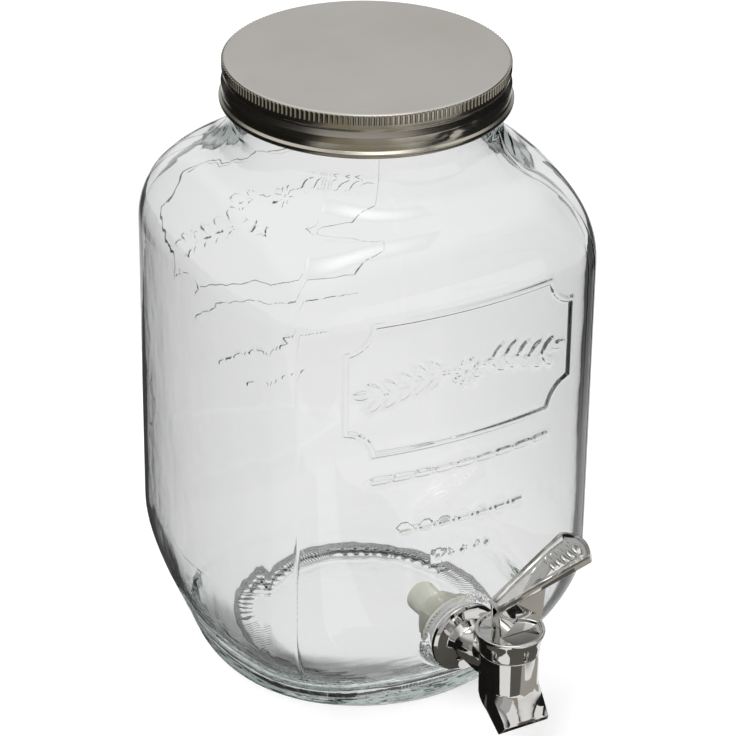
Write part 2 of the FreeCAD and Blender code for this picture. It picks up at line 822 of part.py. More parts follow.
make_list = {
    "glass_jar": make_glass_jar,
    "lid_shell": make_lid_shell,
    "lid_liner": make_lid_liner,
    "outer_washer": make_outer_washer,
    "inner_washer": make_inner_washer,
    "lock_nut": make_lock_nut,
    "tap_body": make_tap_body,
    "tap_bonnet": make_bonnet,
    "valve_stem": make_valve_stem,
    "stem_o_ring": make_stem_o_ring,
    "valve_plug": make_valve_plug,
    "return_spring": make_return_spring,
    "tap_lever": make_lever,
    "lever_pin": make_lever_pin,
}

for name, make in make_list.items():
    shape = make()
    shape.exportStep("parts/" + name + ".step")
    print(name, shape.ShapeType, len(shape.Solids), shape.isValid(), round(shape.Volume, 1))
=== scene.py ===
import bmesh
import bpy
import numpy as np
from math import asin, atan2, cos, degrees, hypot, pi, radians, sin, sqrt, tan
from mathutils import Matrix, Vector, noise
from mathutils.geometry import delaunay_2d_cdt


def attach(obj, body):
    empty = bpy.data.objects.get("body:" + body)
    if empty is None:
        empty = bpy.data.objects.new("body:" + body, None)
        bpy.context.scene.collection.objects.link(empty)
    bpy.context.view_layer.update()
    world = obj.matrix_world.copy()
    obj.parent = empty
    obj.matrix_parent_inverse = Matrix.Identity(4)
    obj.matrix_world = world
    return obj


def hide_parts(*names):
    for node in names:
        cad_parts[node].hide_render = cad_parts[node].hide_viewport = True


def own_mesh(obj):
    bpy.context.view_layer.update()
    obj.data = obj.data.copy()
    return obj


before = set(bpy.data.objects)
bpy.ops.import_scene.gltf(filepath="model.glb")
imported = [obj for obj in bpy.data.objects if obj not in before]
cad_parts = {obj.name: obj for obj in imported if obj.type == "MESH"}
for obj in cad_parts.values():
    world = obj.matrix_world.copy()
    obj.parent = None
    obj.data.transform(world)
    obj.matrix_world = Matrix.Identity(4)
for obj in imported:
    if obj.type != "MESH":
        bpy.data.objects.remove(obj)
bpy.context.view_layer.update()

scene = bpy.context.scene
scene.view_settings.view_transform = "Standard"
scene.cycles.max_bounces = 24  # the thick glass turns light round many times
scene.cycles.glossy_bounces = 16
scene.cycles.transmission_bounces = 24
mm = 0.001
fullTurn = 2 * pi
white = (1, 1, 1, 1)


def addMesh(name, points, faces, finish, smooth=True):
    mesh = bpy.data.meshes.new(name)
    mesh.from_pydata([tuple(p) for p in points], [], [tuple(int(i) for i in f) for f in faces])
    mesh.validate()
    mesh.update()
    piece = bpy.data.objects.new(name, mesh)
    scene.collection.objects.link(piece)
    mesh.materials.append(finish)
    if smooth:
        mesh.shade_smooth()
    return piece


def sharpen(piece, angle):
    piece.data.shade_smooth()
    piece.data.set_sharp_from_angle(angle=radians(angle))


# sockets by name or number, each with a constant or with another node's output
def setInputs(made, values):
    for key, value in values.items():
        if isinstance(value, bpy.types.NodeSocket):
            made.id_data.links.new(value, made.inputs[key])
        else:
            made.inputs[key].default_value = value


def newFinish(name, values):
    finish = bpy.data.materials.new(name)
    finish.use_nodes = True
    shader = finish.node_tree.nodes["Principled BSDF"]
    setInputs(shader, values)
    return finish, finish.node_tree, shader


def setOutput(tree, values):
    setInputs(tree.nodes["Material Output"], values)


def node(tree, kind, values=None, **properties):
    made = tree.nodes.new(kind)
    for key, value in properties.items():
        setattr(made, key, value)
    setInputs(made, values or {})
    return made.outputs


# a node in the tree of the outputs that it takes
def join(kind, values, **properties):
    tree = next(value.id_data for value in values.values() if isinstance(value, bpy.types.NodeSocket))
    return node(tree, kind, values, **properties)


# a cloudy colour between two tones
def tones(source, dark, light):
    made = join("ShaderNodeValToRGB", {"Fac": source})["Color"]
    for element, place, colour in zip(made.node.color_ramp.elements, (0.3, 0.7), (dark, light)):
        element.position = place
        element.color = (*colour, 1)
    return made


def span(source, low, high):
    return join("ShaderNodeMapRange", {"Value": source, "To Min": low, "To Max": high})[0]


def grade(source, low, high, start=0.0, end=1.0):
    values = {"Value": source, "From Min": low, "From Max": high, "To Min": start, "To Max": end}
    return join("ShaderNodeMapRange", values, interpolation_type="SMOOTHSTEP")[0]


def sums(operation, a, b):
    return join("ShaderNodeMath", {0: a, 1: b}, operation=operation)[0]


def mixed(share, a, b):
    return join("ShaderNodeMix", {0: share, 2: a, 3: b}, data_type="FLOAT")[0]


def glowing(strength):
    return join("ShaderNodeEmission", {"Strength": strength})[0]


# a shader that changes from one to another for one kind of ray
def pickShader(ray, plain, other):
    return join("ShaderNodeMixShader", {0: ray, 1: plain, 2: other})[0]


def coordsOf(tree, kind="Object", **mapping):
    coords = node(tree, "ShaderNodeTexCoord")[kind]
    return node(tree, "ShaderNodeMapping", {"Vector": coords, **mapping})[0] if mapping else coords


def placeOf(coords):
    return join("ShaderNodeSeparateXYZ", {0: coords})


def noiseAt(tree, scale, detail=3.0, rough=0.5, stretch=None):
    coords = coordsOf(tree, Scale=stretch) if stretch else coordsOf(tree)
    values = {"Vector": coords, "Scale": scale, "Detail": detail, "Roughness": rough}
    return node(tree, "ShaderNodeTexNoise", values)["Fac"]


def addBump(shader, height, distance, strength):
    values = {"Height": height, "Distance": distance, "Strength": strength}
    setInputs(shader, {"Normal": join("ShaderNodeBump", values)[0]})


view = {
    "target": (0, 0, 0.13265), "distance": 1.3185, "azimuth": -29.51, "elevation": 28.48, "roll": 0.64,
    "lens": 160.07, "sensor": 36, "shiftX": 0.0060, "shiftY": -0.0291, "far": 20,
}


def addCamera():
    az, el, roll = (radians(view[k]) for k in ("azimuth", "elevation", "roll"))
    back = Vector((sin(az) * cos(el), -cos(az) * cos(el), sin(el)))
    right = Vector((cos(az), sin(az), 0))
    up = back.cross(right)
    x = right * cos(roll) + up * sin(roll)
    y = up * cos(roll) - right * sin(roll)
    place = Vector(view["target"]) + back * view["distance"]
    lens = bpy.data.cameras.new("photoCamera")
    lens.lens = view["lens"]
    lens.sensor_width = view["sensor"]
    lens.shift_x = view["shiftX"]
    lens.shift_y = view["shiftY"]
    lens.clip_end = view["far"]
    camera = bpy.data.objects.new("photoCamera", lens)
    camera.matrix_world = Matrix((
        (x.x, y.x, back.x, place.x), (x.y, y.y, back.y, place.y), (x.z, y.z, back.z, place.z), (0, 0, 0, 1)))
    scene.collection.objects.link(camera)
    scene.camera = camera


def clothLook(tone):
    return {"Base Color": (*tone, 1)}


def lightLook(tone):
    return {"Base Color": (0, 0, 0, 1), "Emission Color": white, "Emission Strength": tone}


# places in the studio are metres from the photographer's side: right, towards the camera, up
blackCloth, greyCloth = (0.012, 0.011, 0.010), (0.10, 0.095, 0.085)
paleCloth, warmCloth = (0.36, 0.34, 0.31), (0.27, 0.245, 0.19)
studio = {
    "floorSize": (1.3, 1.6), "floorTone": 0.90, "floorLift": 0.32,
    "throughTone": 0.88, "throughEdge": 0.06, "throughDeep": 0.5, "deepFrom": 5.5,
    "mirrorEdge": (0.20, 0.36), "mirrorTone": 0.86, "mirrorDark": 0.02, "mirrorBack": 0.62,
    "sideDark": 0.01, "frontDark": 0.30, "below": 0.05, "ambient": 0.72,
    "frontEdge": (0.0, 0.6), "sideEdge": (0.45, 0.72), "topEdge": (0.42, 0.75), "belowEdge": (-0.12, -0.02),
    "flagLift": 0.001,
    "flags": {
        "leftFlag": (blackCloth, [
            (-0.60, -0.55), (-0.13, -0.20), (-0.098, -0.060), (-0.079, -0.008), (-0.058, 0.027),
            (-0.040, 0.050), (-0.010, 0.066), (0.012, 0.085), (0.012, 0.115), (0.006, 0.16), (-0.03, 0.30),
            (-0.60, 0.30)]),
        "rightFlag": (greyCloth, [
            (0.045, 0.105), (0.13, 0.05), (0.13, 0.22), (0.074, 0.30), (0.066, 0.20), (0.050, 0.13)]),
        "cheekFlag": (paleCloth, [(0.13, 0.03), (0.19, 0.03), (0.19, 0.19), (0.13, 0.19)]),
        "flangeFlag": (greyCloth, [
            (0.012, 0.085), (0.05, 0.07), (0.07, 0.10), (0.05, 0.13), (0.03, 0.15), (0.012, 0.15)]),
        "frontFlag": (warmCloth, [(-0.32, 0.35), (-0.32, 1.30), (0.32, 1.30), (0.32, 0.35)]),
    },
    # heel lines, softness and reach darken the floor seen through the glass before the heel: a painted
    # contact shadow
    "heelLines": [(0, 1, 0.035, 0.35), (-0.733, 0.680, 0.0464, 0.5), (0.844, 0.537, 0.078, 0.5)],
    "heelSoft": 0.006, "heelReach": (0.095, 0.14),
    "uprights": {
        "nearFlag": (clothLook(blackCloth), 0.075, [(-0.036, 0.115), (-0.036, 0.20)]),
        "footFlag": (clothLook(blackCloth), 0.05, [(-0.0025, 0.0971), (0.0425, 0.0718)]),
        "greyCard": (lightLook(0.45), 0.22, [(-0.10, 0.62), (0.20, 0.60)]),
        "whiteCard": (lightLook(0.85), 0.22, [(0.20, 0.60), (0.45, 0.42), (0.62, 0.16)]),
    },
    "window": {
        "place": (0.12, 0.48, 1.28), "target": (0, 0, 0.2), "size": (1.3, 0.55), "steps": (24, 12), "tone": 5,
        "fade": 1.5,
    },
    "lampTarget": (0, 0, 0.13),
    "lamps": {
        "keyLamp": {"place": (-0.35, 0.95, 1.25), "size": (0.55, 0.75), "power": 9},
        "rimLamp": {"place": (0.9, -0.55, 0.75), "size": (0.25, 0.8), "power": 3},
    },
}
cameraTurn = (0, 0, -radians(view["azimuth"]))


def fromCamera(right, near, up):
    az = radians(view["azimuth"])
    x = right * cos(az) + near * sin(az)
    y = right * sin(az) - near * cos(az)
    return Vector((x, y, up))


# what is seen through the glass: bright straight through, dark where the wall turns light back once
def throughGlass(path):
    depth = path["Ray Depth"]
    turned = sums("MODULO", depth, 2)
    deep = sums("GREATER_THAN", depth, studio["deepFrom"])
    plain = grade(turned, 0, 1, studio["throughTone"], studio["throughEdge"])
    plain = sums("MULTIPLY", plain, sums("SUBTRACT", 1, deep))
    return sums("ADD", plain, sums("MULTIPLY", deep, studio["throughDeep"]))


# painted contact shadow: how much darker the floor is, just before the heel
def heelShade(tree, across, near):
    heel, soft = 1, studio["heelSoft"]
    for a, b, offset, tone in studio["heelLines"]:
        reach = sums("ADD", sums("MULTIPLY", across, a), sums("MULTIPLY", near, b))
        heel = sums("MULTIPLY", heel, grade(reach, offset - soft, offset + soft, 1, tone))
    away = join("ShaderNodeVectorMath", {0: coordsOf(tree)}, operation="LENGTH")["Value"]
    close = grade(away, *studio["heelReach"], 1, 0)
    return sums("ADD", 1, sums("MULTIPLY", close, sums("SUBTRACT", heel, 1)))


# floor: white to the eye, a bright strip to the metal, and a painted contact shadow before the heel through
# the glass
def addFloor():
    tone = studio["floorTone"]
    finish, tree, shader = newFinish("paleFloor", {
        "Base Color": (tone, tone, tone, 1), "Roughness": 0.9, "Specular IOR Level": 0.0})
    path = node(tree, "ShaderNodeLightPath")
    lift = glowing(sums("MULTIPLY", path["Is Camera Ray"], studio["floorLift"]))
    surface = node(tree, "ShaderNodeAddShader", {0: shader.outputs[0], 1: lift})[0]
    place = placeOf(coordsOf(tree, Rotation=cameraTurn))
    near = sums("MULTIPLY", place["Y"], -1)
    through = sums("MULTIPLY", throughGlass(path), heelShade(tree, place["X"], near))
    aside = sums("ABSOLUTE", place["X"], 0)
    mirror = grade(aside, *studio["mirrorEdge"], studio["mirrorTone"], studio["mirrorDark"])
    for ray, tone in (("Is Glossy Ray", mirror), ("Is Transmission Ray", through)):  # glass sets both
        surface = pickShader(path[ray], surface, glowing(tone))
    setOutput(tree, {"Surface": surface})
    w, d = studio["floorSize"]
    corners = [fromCamera(x, y, 0) for x, y in ((-w, d), (w, d), (w, -d), (-w, -d))]
    floor = addMesh("paleFloor", corners, [(0, 1, 2, 3)], finish)
    if floor.data.polygons[0].normal.z < 0:
        floor.data.flip_normals()


# a screen that only reflections see; light through the glass passes it
def addScreen(name, corners, faces, values):
    finish, tree, shader = newFinish(name, {"Specular IOR Level": 0.0, **values})
    passing = node(tree, "ShaderNodeLightPath")["Is Transmission Ray"]
    clear = node(tree, "ShaderNodeBsdfTransparent")[0]
    setOutput(tree, {"Surface": pickShader(passing, shader.outputs[0], clear)})
    screen = addMesh(name, corners, faces, finish, False)
    for ray in ("camera", "diffuse", "transmission", "shadow"):
        setattr(screen, "visible_" + ray, False)
    return screen, tree, shader


def gridFaces(wide, high):
    return [(j * wide + i, j * wide + i + 1, (j + 1) * wide + i + 1, (j + 1) * wide + i)
            for j in range(high - 1) for i in range(wide - 1)]


# dark cloths on the floor and before the glass, and bright cards
def addScreens():
    for name, (tone, outline) in studio["flags"].items():
        corners = [fromCamera(*place, studio["flagLift"]) for place in outline]
        addScreen(name, corners, [range(len(corners))], clothLook(tone))
    for name, (look, high, feet) in studio["uprights"].items():
        corners = [fromCamera(*foot, z) for z in (0, high) for foot in feet]
        addScreen(name, corners, gridFaces(len(feet), 2), look)


# a broad window with soft edges, for the gloss on lid and glass
def addWindow():
    values = studio["window"]
    middle = fromCamera(*values["place"])
    facing = (fromCamera(*values["target"]) - middle).normalized()
    across = facing.cross(Vector((0, 0, 1))).normalized() * values["size"][0] / 2
    up = across.cross(facing).normalized() * values["size"][1] / 2
    wide, high = (count + 1 for count in values["steps"])
    points, glow = [], []
    for v in np.linspace(-1, 1, high):
        for u in np.linspace(-1, 1, wide):
            points.append(middle + across * u + up * v)
            inner = max(0.0, cos(u * pi / 2) * cos(v * pi / 2))
            glow.append(values["tone"] * inner ** values["fade"])
    card, tree, shader = addScreen("windowCard", points, gridFaces(wide, high), lightLook(1))
    card.data.attributes.new("glow", "FLOAT", "POINT").data.foreach_set("value", glow)
    setInputs(shader, {"Emission Strength": node(tree, "ShaderNodeAttribute", attribute_name="glow")["Fac"]})


def addSky():
    world = bpy.data.worlds.new("studioSky")
    scene.world = world
    world.use_nodes = True
    tree = world.node_tree
    path = node(tree, "ShaderNodeLightPath")
    way = placeOf(coordsOf(tree, "Generated", Rotation=cameraTurn))
    aside = sums("ABSOLUTE", way["X"], 0)
    nearer = sums("MULTIPLY", way["Y"], -1)
    tone = mixed(grade(nearer, *studio["frontEdge"]), studio["mirrorBack"], studio["frontDark"])
    tone = mixed(grade(aside, *studio["sideEdge"]), tone, studio["sideDark"])
    tone = mixed(grade(way["Z"], *studio["topEdge"]), tone, 1.0)
    tone = mixed(grade(way["Z"], *studio["belowEdge"]), studio["below"], tone)
    tone = mixed(path["Is Glossy Ray"], studio["ambient"], tone)
    tone = mixed(path["Is Transmission Ray"], tone, throughGlass(path))
    tone = mixed(path["Is Camera Ray"], tone, 1.0)
    setInputs(tree.nodes["Background"], {"Color": white, "Strength": tone})


# lamps light the pieces, and show in no reflection
def addLamps():
    for name, values in studio["lamps"].items():
        lamp = bpy.data.lights.new(name, "AREA")
        lamp.shape = "RECTANGLE"
        lamp.size, lamp.size_y = values["size"]
        lamp.energy = values["power"]
        holder = bpy.data.objects.new(name, lamp)
        place = fromCamera(*values["place"])
        way = Vector(studio["lampTarget"]) - place
        holder.matrix_world = way.to_track_quat("-Z", "Y").to_matrix().to_4x4()
        holder.location = place
        holder.visible_glossy = False
        holder.visible_transmission = False
        scene.collection.objects.link(holder)


addCamera()
addFloor()
addScreens()
addWindow()
addSky()
addLamps()
print("camera, floor and light ready")


glassLook = {
    "flow": (55, 2, 0.4, (1, 1, 0.6)), "flowShare": 0.25, "streak": (26, 3, 0.45, (1, 1, 4.5)),
    "heel": (0.012, 0.045), "ripple": 0.0008, "tint": (0.62, 0.83, 0.74, 1), "density": 4.5,
}


def makeClearGlass():
    finish, tree, shader = newFinish("clearGlass", {
        "Base Color": white, "Transmission Weight": 1.0, "IOR": 1.5, "Roughness": 0.0})
    height = placeOf(coordsOf(tree))["Z"]
    low = grade(height, *glassLook["heel"], 1, 0)  # pressed ripples of the heel
    flow = sums("MULTIPLY", noiseAt(tree, *glassLook["flow"]), glassLook["flowShare"])
    streak = sums("MULTIPLY", noiseAt(tree, *glassLook["streak"]), low)
    addBump(shader, sums("ADD", flow, streak), glassLook["ripple"], 1.0)
    tint = {"Color": glassLook["tint"], "Density": glassLook["density"]}
    setOutput(tree, {"Volume": node(tree, "ShaderNodeVolumeAbsorption", tint)[0]})
    return finish


# top and side colours are one steel, painted lighter on the top and darker and warmer on the side: painted
# light and painted shade
steelLook = {
    "top": ((0.56, 0.535, 0.49), (0.62, 0.60, 0.56)), "side": ((0.46, 0.43, 0.36), (0.52, 0.49, 0.42)),
    "topRough": (0.28, 0.36), "sideRough": (0.15, 0.22), "edge": (0.2590, 0.2599),
}


# the rolled side is smoother than the satin top; the side's darker, warmer colour is painted shade and the
# top's lighter colour painted light
def makeSatinSteel():
    finish, tree, shader = newFinish("satinSteel", {"Metallic": 1.0})
    grain = noiseAt(tree, 900, 2, 0.6, (1, 1, 0.02))
    cloud = noiseAt(tree, 18, 4)
    low, high = steelLook["edge"]
    height = placeOf(coordsOf(tree))["Z"]
    onTop = node(tree, "ShaderNodeMapRange", {"Value": height, "From Min": low, "From Max": high})[0]
    # painted light in the top colour, painted shade in the side colour
    side, top = tones(cloud, *steelLook["side"]), tones(cloud, *steelLook["top"])
    colour = node(tree, "ShaderNodeMix", {0: onTop, 6: side, 7: top}, data_type="RGBA")[2]
    side, top = span(grain, *steelLook["sideRough"]), span(grain, *steelLook["topRough"])
    setInputs(shader, {"Base Color": colour, "Roughness": mixed(onTop, side, top)})
    addBump(shader, noiseAt(tree, 2500, 2), 0.00004, 0.3)
    return finish


# a finish with clouds of colour (scale, detail, dark, light) and of roughness (scale, detail, low, high)
def makeCloudy(name, values, colour, rough):
    finish, tree, shader = newFinish(name, values)
    setInputs(shader, {
        "Base Color": tones(noiseAt(tree, *colour[:2]), *colour[2:]),
        "Roughness": span(noiseAt(tree, *rough[:2]), *rough[2:])})
    return finish, tree, shader


def makeChrome():
    colour = (60, 4, (0.74, 0.73, 0.71), (0.80, 0.79, 0.77))
    finish, tree, shader = makeCloudy("brightChrome", {"Metallic": 1.0}, colour, (240, 4, 0.03, 0.08))
    addBump(shader, noiseAt(tree, 130, 2), 0.0003, 0.06)
    return finish


def makeWire():
    colour = (300, 3, (0.55, 0.55, 0.55), (0.66, 0.66, 0.66))
    return makeCloudy("drawnWire", {"Metallic": 1.0}, colour, (900, 3, 0.2, 0.35))[0]


def makeSoft(name, dark, light, rough, scatter):
    values = {"Subsurface Weight": scatter, "Subsurface Radius": (1, 0.9, 0.7), "Subsurface Scale": 0.002}
    roughness = (700, 3, rough - 0.08, rough + 0.08)
    finish, tree, shader = makeCloudy(name, values, (140, 4, dark, light), roughness)
    addBump(shader, noiseAt(tree, 1800, 2), 0.00005, 0.3)
    return finish


clearGlass = makeClearGlass()
satinSteel = makeSatinSteel()
brightChrome = makeChrome()
milkyPlastic = makeSoft("milkyPlastic", (0.80, 0.80, 0.67), (0.87, 0.87, 0.75), 0.42, 0.6)
paleSilicone = makeSoft("paleSilicone", (0.66, 0.66, 0.64), (0.74, 0.74, 0.71), 0.5, 0.5)
sealingCompound = makeSoft("sealingCompound", (0.78, 0.78, 0.74), (0.84, 0.84, 0.80), 0.6, 0.1)
whiteAcetal = makeSoft("whiteAcetal", (0.80, 0.80, 0.78), (0.86, 0.86, 0.84), 0.4, 0.2)
blackNitrile = makeSoft("blackNitrile", (0.02, 0.02, 0.02), (0.035, 0.035, 0.035), 0.55, 0.0)
drawnWire = makeWire()
print("finishes ready")


# glass jar, in millimetres: a bulged square that turns round in the heel and in the neck
jar = {
    "halfWidth": 80.3, "faceOffset": 127.7, "cornerTuck": 49.8, "wall": 4.2, "floor": 9.0, "floorRound": 26.0,
    "pushUp": 4.5, "baseRound": 12.0, "taper": 20.0, "upperRound": 85.0, "heelTop": 55.0,
    "roundingDepth": 15.5, "shoulder": 182.4, "shoulderTop": 219.5, "shoulderRadius": 55.0,
    "shoulderWall": 5.2, "neckRadius": 53.0, "neckSweep": 20.0, "mouthRadius": 48.5, "rim": 258.2,
    "rimRound": 1.8, "mouthRound": 1.2,
    "tapHeight": 42.0, "hole": 7.0, "holeSteps": 56, "padRadius": 16.5, "padDraft": 0.2083, "padFace": 81.2,
    "padWall": 5.0, "padSoft": 0.8, "padEdge": 0.4, "innerPad": 13.5, "nutSeat": 4.0,
    "faceColumns": 34, "cornerColumns": 20, "panelReach": 55.0, "panelLow": 17.0, "panelHigh": 197.0,
    "innerLow": 18.0, "innerHigh": 70.0, "innerShoulder": 182.0, "baseRows": 8.0,
    "panelGap": 0.24, "panelEdge": 0.8, "panelGrid": 2.6, "panelStart": (1.6, 1.2), "panelNear": 1.6,
    "waviness": 0.22, "waves": (0.035, 0.035, 0.022), "seam": 0.16, "seamWidth": 0.35, "seamFoot": 6.0,
    "seamTurns": [44.3, 44.65, 45.0, 45.35, 45.7], "seamClear": 1.4,
    "neckPlain": 242.5, "threadRows": (243.2, 255.8, 0.7), "threadRelief": 1.0, "threadPitch": 5.08,
    "threadStart": 245.2, "threadWidth": 0.95, "threadIn": (244.5, 245.6), "threadOut": (254.0, 255.2),
    "ridge": 0.7, "ridgeBand": (46.2, 52.8), "domeRadius": 40.0, "domeRise": 1.4,
    "baseLine": [
        (54.5, 0.0), (53.0, 0.0), (52.2, 0.0), (50.9, 0.05), (50, 0.35), (48.6, 1.1), (47.2, 1.8),
        (46.4, 2.1), (45.6, 2.4), (44, 2.7), (40, 3.1)],
}
faceReach = sqrt(2 * (jar["faceOffset"] + jar["cornerTuck"]) ** 2 - jar["faceOffset"] ** 2)
cornerUnit = (faceReach - jar["faceOffset"]) / 2
faceHalf = atan2(cornerUnit, cornerUnit + jar["faceOffset"])
faceRadius = jar["halfWidth"] + jar["faceOffset"]
cornerRadius = jar["halfWidth"] - jar["cornerTuck"]
faceLength = faceRadius * faceHalf


def sectionXY(half, square, turn):
    quarter = np.floor((turn + np.pi / 4) / (np.pi / 2))
    local = turn - quarter * np.pi / 2
    onFace = np.abs(local) <= faceHalf + 1e-9
    side = np.sign(local)
    cx = np.where(onFace, -jar["faceOffset"] * square, cornerUnit * square)
    cy = np.where(onFace, 0, side * cornerUnit * square)
    radius = np.where(onFace, half + jar["faceOffset"] * square, half - jar["cornerTuck"] * square)
    x = cx + radius * np.cos(local)
    y = cy + radius * np.sin(local)
    c, s = np.cos(quarter * np.pi / 2), np.sin(quarter * np.pi / 2)
    return x * c - y * s, x * s + y * c


def arcPoints(centre, radius, start, end, count):
    bends = np.radians(np.linspace(start, end, count))
    return [(centre[0] + radius * cos(t), centre[1] + radius * sin(t)) for t in bends]


def circlePoints(centre, radius, count):
    return arcPoints(centre, radius, 0, 360, count + 1)[:-1]


def heelLine(inset, floorZ, baseRound):
    slope = radians(jar["taper"])
    centreX = jar["halfWidth"] - jar["upperRound"]
    radius = jar["upperRound"] - inset
    top = (centreX + radius * cos(slope), jar["heelTop"] - radius * sin(slope))
    footZ = floorZ + baseRound * (1 - sin(slope))
    foot = (top[0] - (top[1] - footZ) * tan(slope), footZ)
    ring = foot[0] - baseRound * cos(slope)
    points = arcPoints((ring, floorZ + baseRound), baseRound, -90, -jar["taper"], 25)
    for k in np.linspace(0, 1, 12)[1:-1]:
        points.append((foot[0] + (top[0] - foot[0]) * k, foot[1] + (top[1] - foot[1]) * k))
    return points + arcPoints((centreX, jar["heelTop"]), radius, -jar["taper"], 0, 30)


def squareOf(half, inset):
    return min(1.0, max(0.0, 1 - (jar["halfWidth"] - half - inset) / jar["roundingDepth"]))


# rows (half width, squareness, z) from the bearing ring up to the neck, outside or inside
def wallLine(inset, floorZ, baseRound, topRadius, topZ, neck, sweep):
    rows = [(a, squareOf(a, inset), z) for a, z in heelLine(inset, floorZ, baseRound)]
    full = jar["halfWidth"] - inset
    rows += [(full, 1.0, z) for z in np.linspace(jar["heelTop"], jar["shoulder"], 60)[1:-1]]
    run, rise = full - topRadius, topZ - jar["shoulder"]
    low, high = 0, pi / 2
    for step in range(40):  # where the hollow sweep meets the crown
        turn = (low + high) / 2
        tilt = atan2(sin(turn) / rise, cos(turn) / run)
        if topRadius + run * cos(turn) + sweep * cos(tilt) > neck + sweep:
            low = turn
        else:
            high = turn
    for t in np.linspace(0, turn, 50):
        rows.append((topRadius + run * cos(t), cos(t), jar["shoulder"] + rise * sin(t)))
    square, root = rows[-1][1], rows[-1][2] + sweep * sin(tilt)
    for share in np.linspace(1, 0, 24)[1:]:
        side = tilt * share
        rows.append((neck + sweep * (1 - cos(side)), square * share, root - sweep * sin(side)))
    return rows


class WallCurve:
    def __init__(self, *values):
        self.rows = np.array(wallLine(*values))
        steps = np.hypot(np.diff(self.rows[:, 0]), np.diff(self.rows[:, 2]))
        self.length = np.concatenate([[0], np.cumsum(steps)])

    def at(self, t):
        return tuple(np.interp(t, self.length, self.rows[:, k]) for k in range(3))

    def lengthAtHeight(self, z):
        return np.interp(z, self.rows[:, 2], self.length)

    # row places from (height, points) spans, of which the last runs to the end of the wall
    def spread(self, *spans):
        places, start = [], 0
        for height, count in spans:
            end = self.lengthAtHeight(height) if height else self.length[-1]
            places.append(np.linspace(start, end, count)[:-1])
            start = end
        return np.concatenate([*places, [start]])


outerCurve = WallCurve(
    0, 0, jar["baseRound"], jar["shoulderRadius"], jar["shoulderTop"], jar["neckRadius"], jar["neckSweep"])
innerCurve = WallCurve(
    jar["wall"], jar["floor"], jar["floorRound"], jar["mouthRadius"] + 1,
    jar["shoulderTop"] - jar["shoulderWall"], jar["mouthRadius"],
    jar["neckSweep"] + jar["neckRadius"] - jar["mouthRadius"])


def columnTurns():
    half = degrees(faceHalf)
    edge = half + degrees((jar["panelReach"] - faceLength) / cornerRadius)
    face = list(np.linspace(-half, half, jar["faceColumns"] + 1))
    corner = list(np.linspace(edge, 90 - edge, jar["cornerColumns"] + 1))
    corner = sorted([c for c in corner if abs(c - 45) > jar["seamClear"]] + jar["seamTurns"])
    return np.radians(np.array([90 * quarter + t for quarter in range(4) for t in face + corner]))


turns = columnTurns()
columns = len(turns)


# arc length along the wall from the middle of a face, and back again
def reachOf(local):
    away = np.abs(local)
    return np.sign(local) * np.where(
        away <= faceHalf, faceRadius * away, faceLength + cornerRadius * (away - faceHalf))


def localOf(reach):
    away = np.abs(reach)
    return np.sign(reach) * np.where(
        away <= faceLength, away / faceRadius, faceHalf + (away - faceLength) / cornerRadius)


# raised ornament, drawn in the front view in millimetres: x across, z up
cast = {
    "frameZ": 160.0, "frameHalf": (51.0, 29.0), "notch": 11.0, "band": 2.4, "bandEdge": (0.35, 1.5),
    "relief": 1.15, "leafRelief": 1.25, "beadRelief": 1.1, "stemRelief": 1.0, "backShare": 0.5,
    "leafPairs": 5, "leafStart": 11.0, "leafPitch": 6.0, "leafLean": 42, "leafSet": (4.4, 4.6),
    "leafSize": (4.6, 1.9), "tipLeaf": (43.5, -1.0), "tipSize": (4.2, 1.8),
    "petals": 8, "petalSet": 4.4, "petalSize": (2.6, 1.2), "vein": (0.4, 0.35),
    "stemSpan": (7.5, 40), "stemSteps": 40, "stemSwing": 2.6, "stemWave": 7.5, "stemEdge": (0.3, 1.0),
    "barRows": [(120.5, 9.0, 4, 2.6, 1.5, 1.25), (95.5, 8.4, 3, 1.6, 1.1, 0.95)],
    "middleBead": 1.7, "dotRow": (80.5, 5.6, 2), "dots": (1.5, 0.95),
}
frameZ = cast["frameZ"]


def ramp01(value, low, high):
    k = np.clip((value - low) / (high - low), 0, 1)
    return k * k * (3 - 2 * k)


def stemHeight(x):
    return frameZ + cast["stemSwing"] * np.sin(x / cast["stemWave"])


# leaves as (middle x, middle z, direction x, direction z, length, width)
def makeLeaves():
    leaves = []
    for side in (-1, 1):
        for k in range(cast["leafPairs"]):
            x = cast["leafStart"] + cast["leafPitch"] * k
            for way in (-1, 1):
                lean = radians(cast["leafLean"]) * way
                cx = x + cast["leafSet"][0] * cos(lean)
                cz = stemHeight(x) + cast["leafSet"][1] * sin(lean)
                leaves.append((side * cx, cz, cos(lean) * side, sin(lean), *cast["leafSize"]))
        x, z = cast["tipLeaf"]
        leaves.append((side * x, frameZ + z, side, 0, *cast["tipSize"]))
    for k in range(cast["petals"]):
        a = radians(360 / cast["petals"] * (k + 0.5))
        c, s, away = cos(a), sin(a), cast["petalSet"]
        leaves.append((away * c, frameZ + away * s, c, s, *cast["petalSize"]))
    return leaves


def makeStems():
    xs = np.linspace(*cast["stemSpan"], cast["stemSteps"])
    return [np.stack([side * xs, stemHeight(xs)], 1) for side in (-1, 1)]


# rows of bars (start, end, z, radius) with beads (x, z, radius) between them
def makeRows():
    bars, beads = [], [(0, frameZ, cast["middleBead"])]
    for z, pitch, reach, half, barSize, beadSize in cast["barRows"]:
        bars += [(k * pitch - half, k * pitch + half, z, barSize) for k in range(-reach, reach + 1)]
        beads += [((k + 0.5) * pitch, z, beadSize) for k in range(-reach, reach)]
    z, pitch, reach = cast["dotRow"]
    beads += [(k * pitch, z, cast["dots"][k % 2]) for k in range(-reach, reach + 1)]
    return bars, beads


leaves, stems = makeLeaves(), makeStems()
bars, beads = makeRows()


def frameDistance(x, z):
    w, h = cast["frameHalf"]
    ax, az = np.abs(x), np.abs(z - frameZ)
    plate = np.maximum(ax - w, az - h)
    return np.maximum(plate, cast["notch"] - np.hypot(ax - w, az - h))


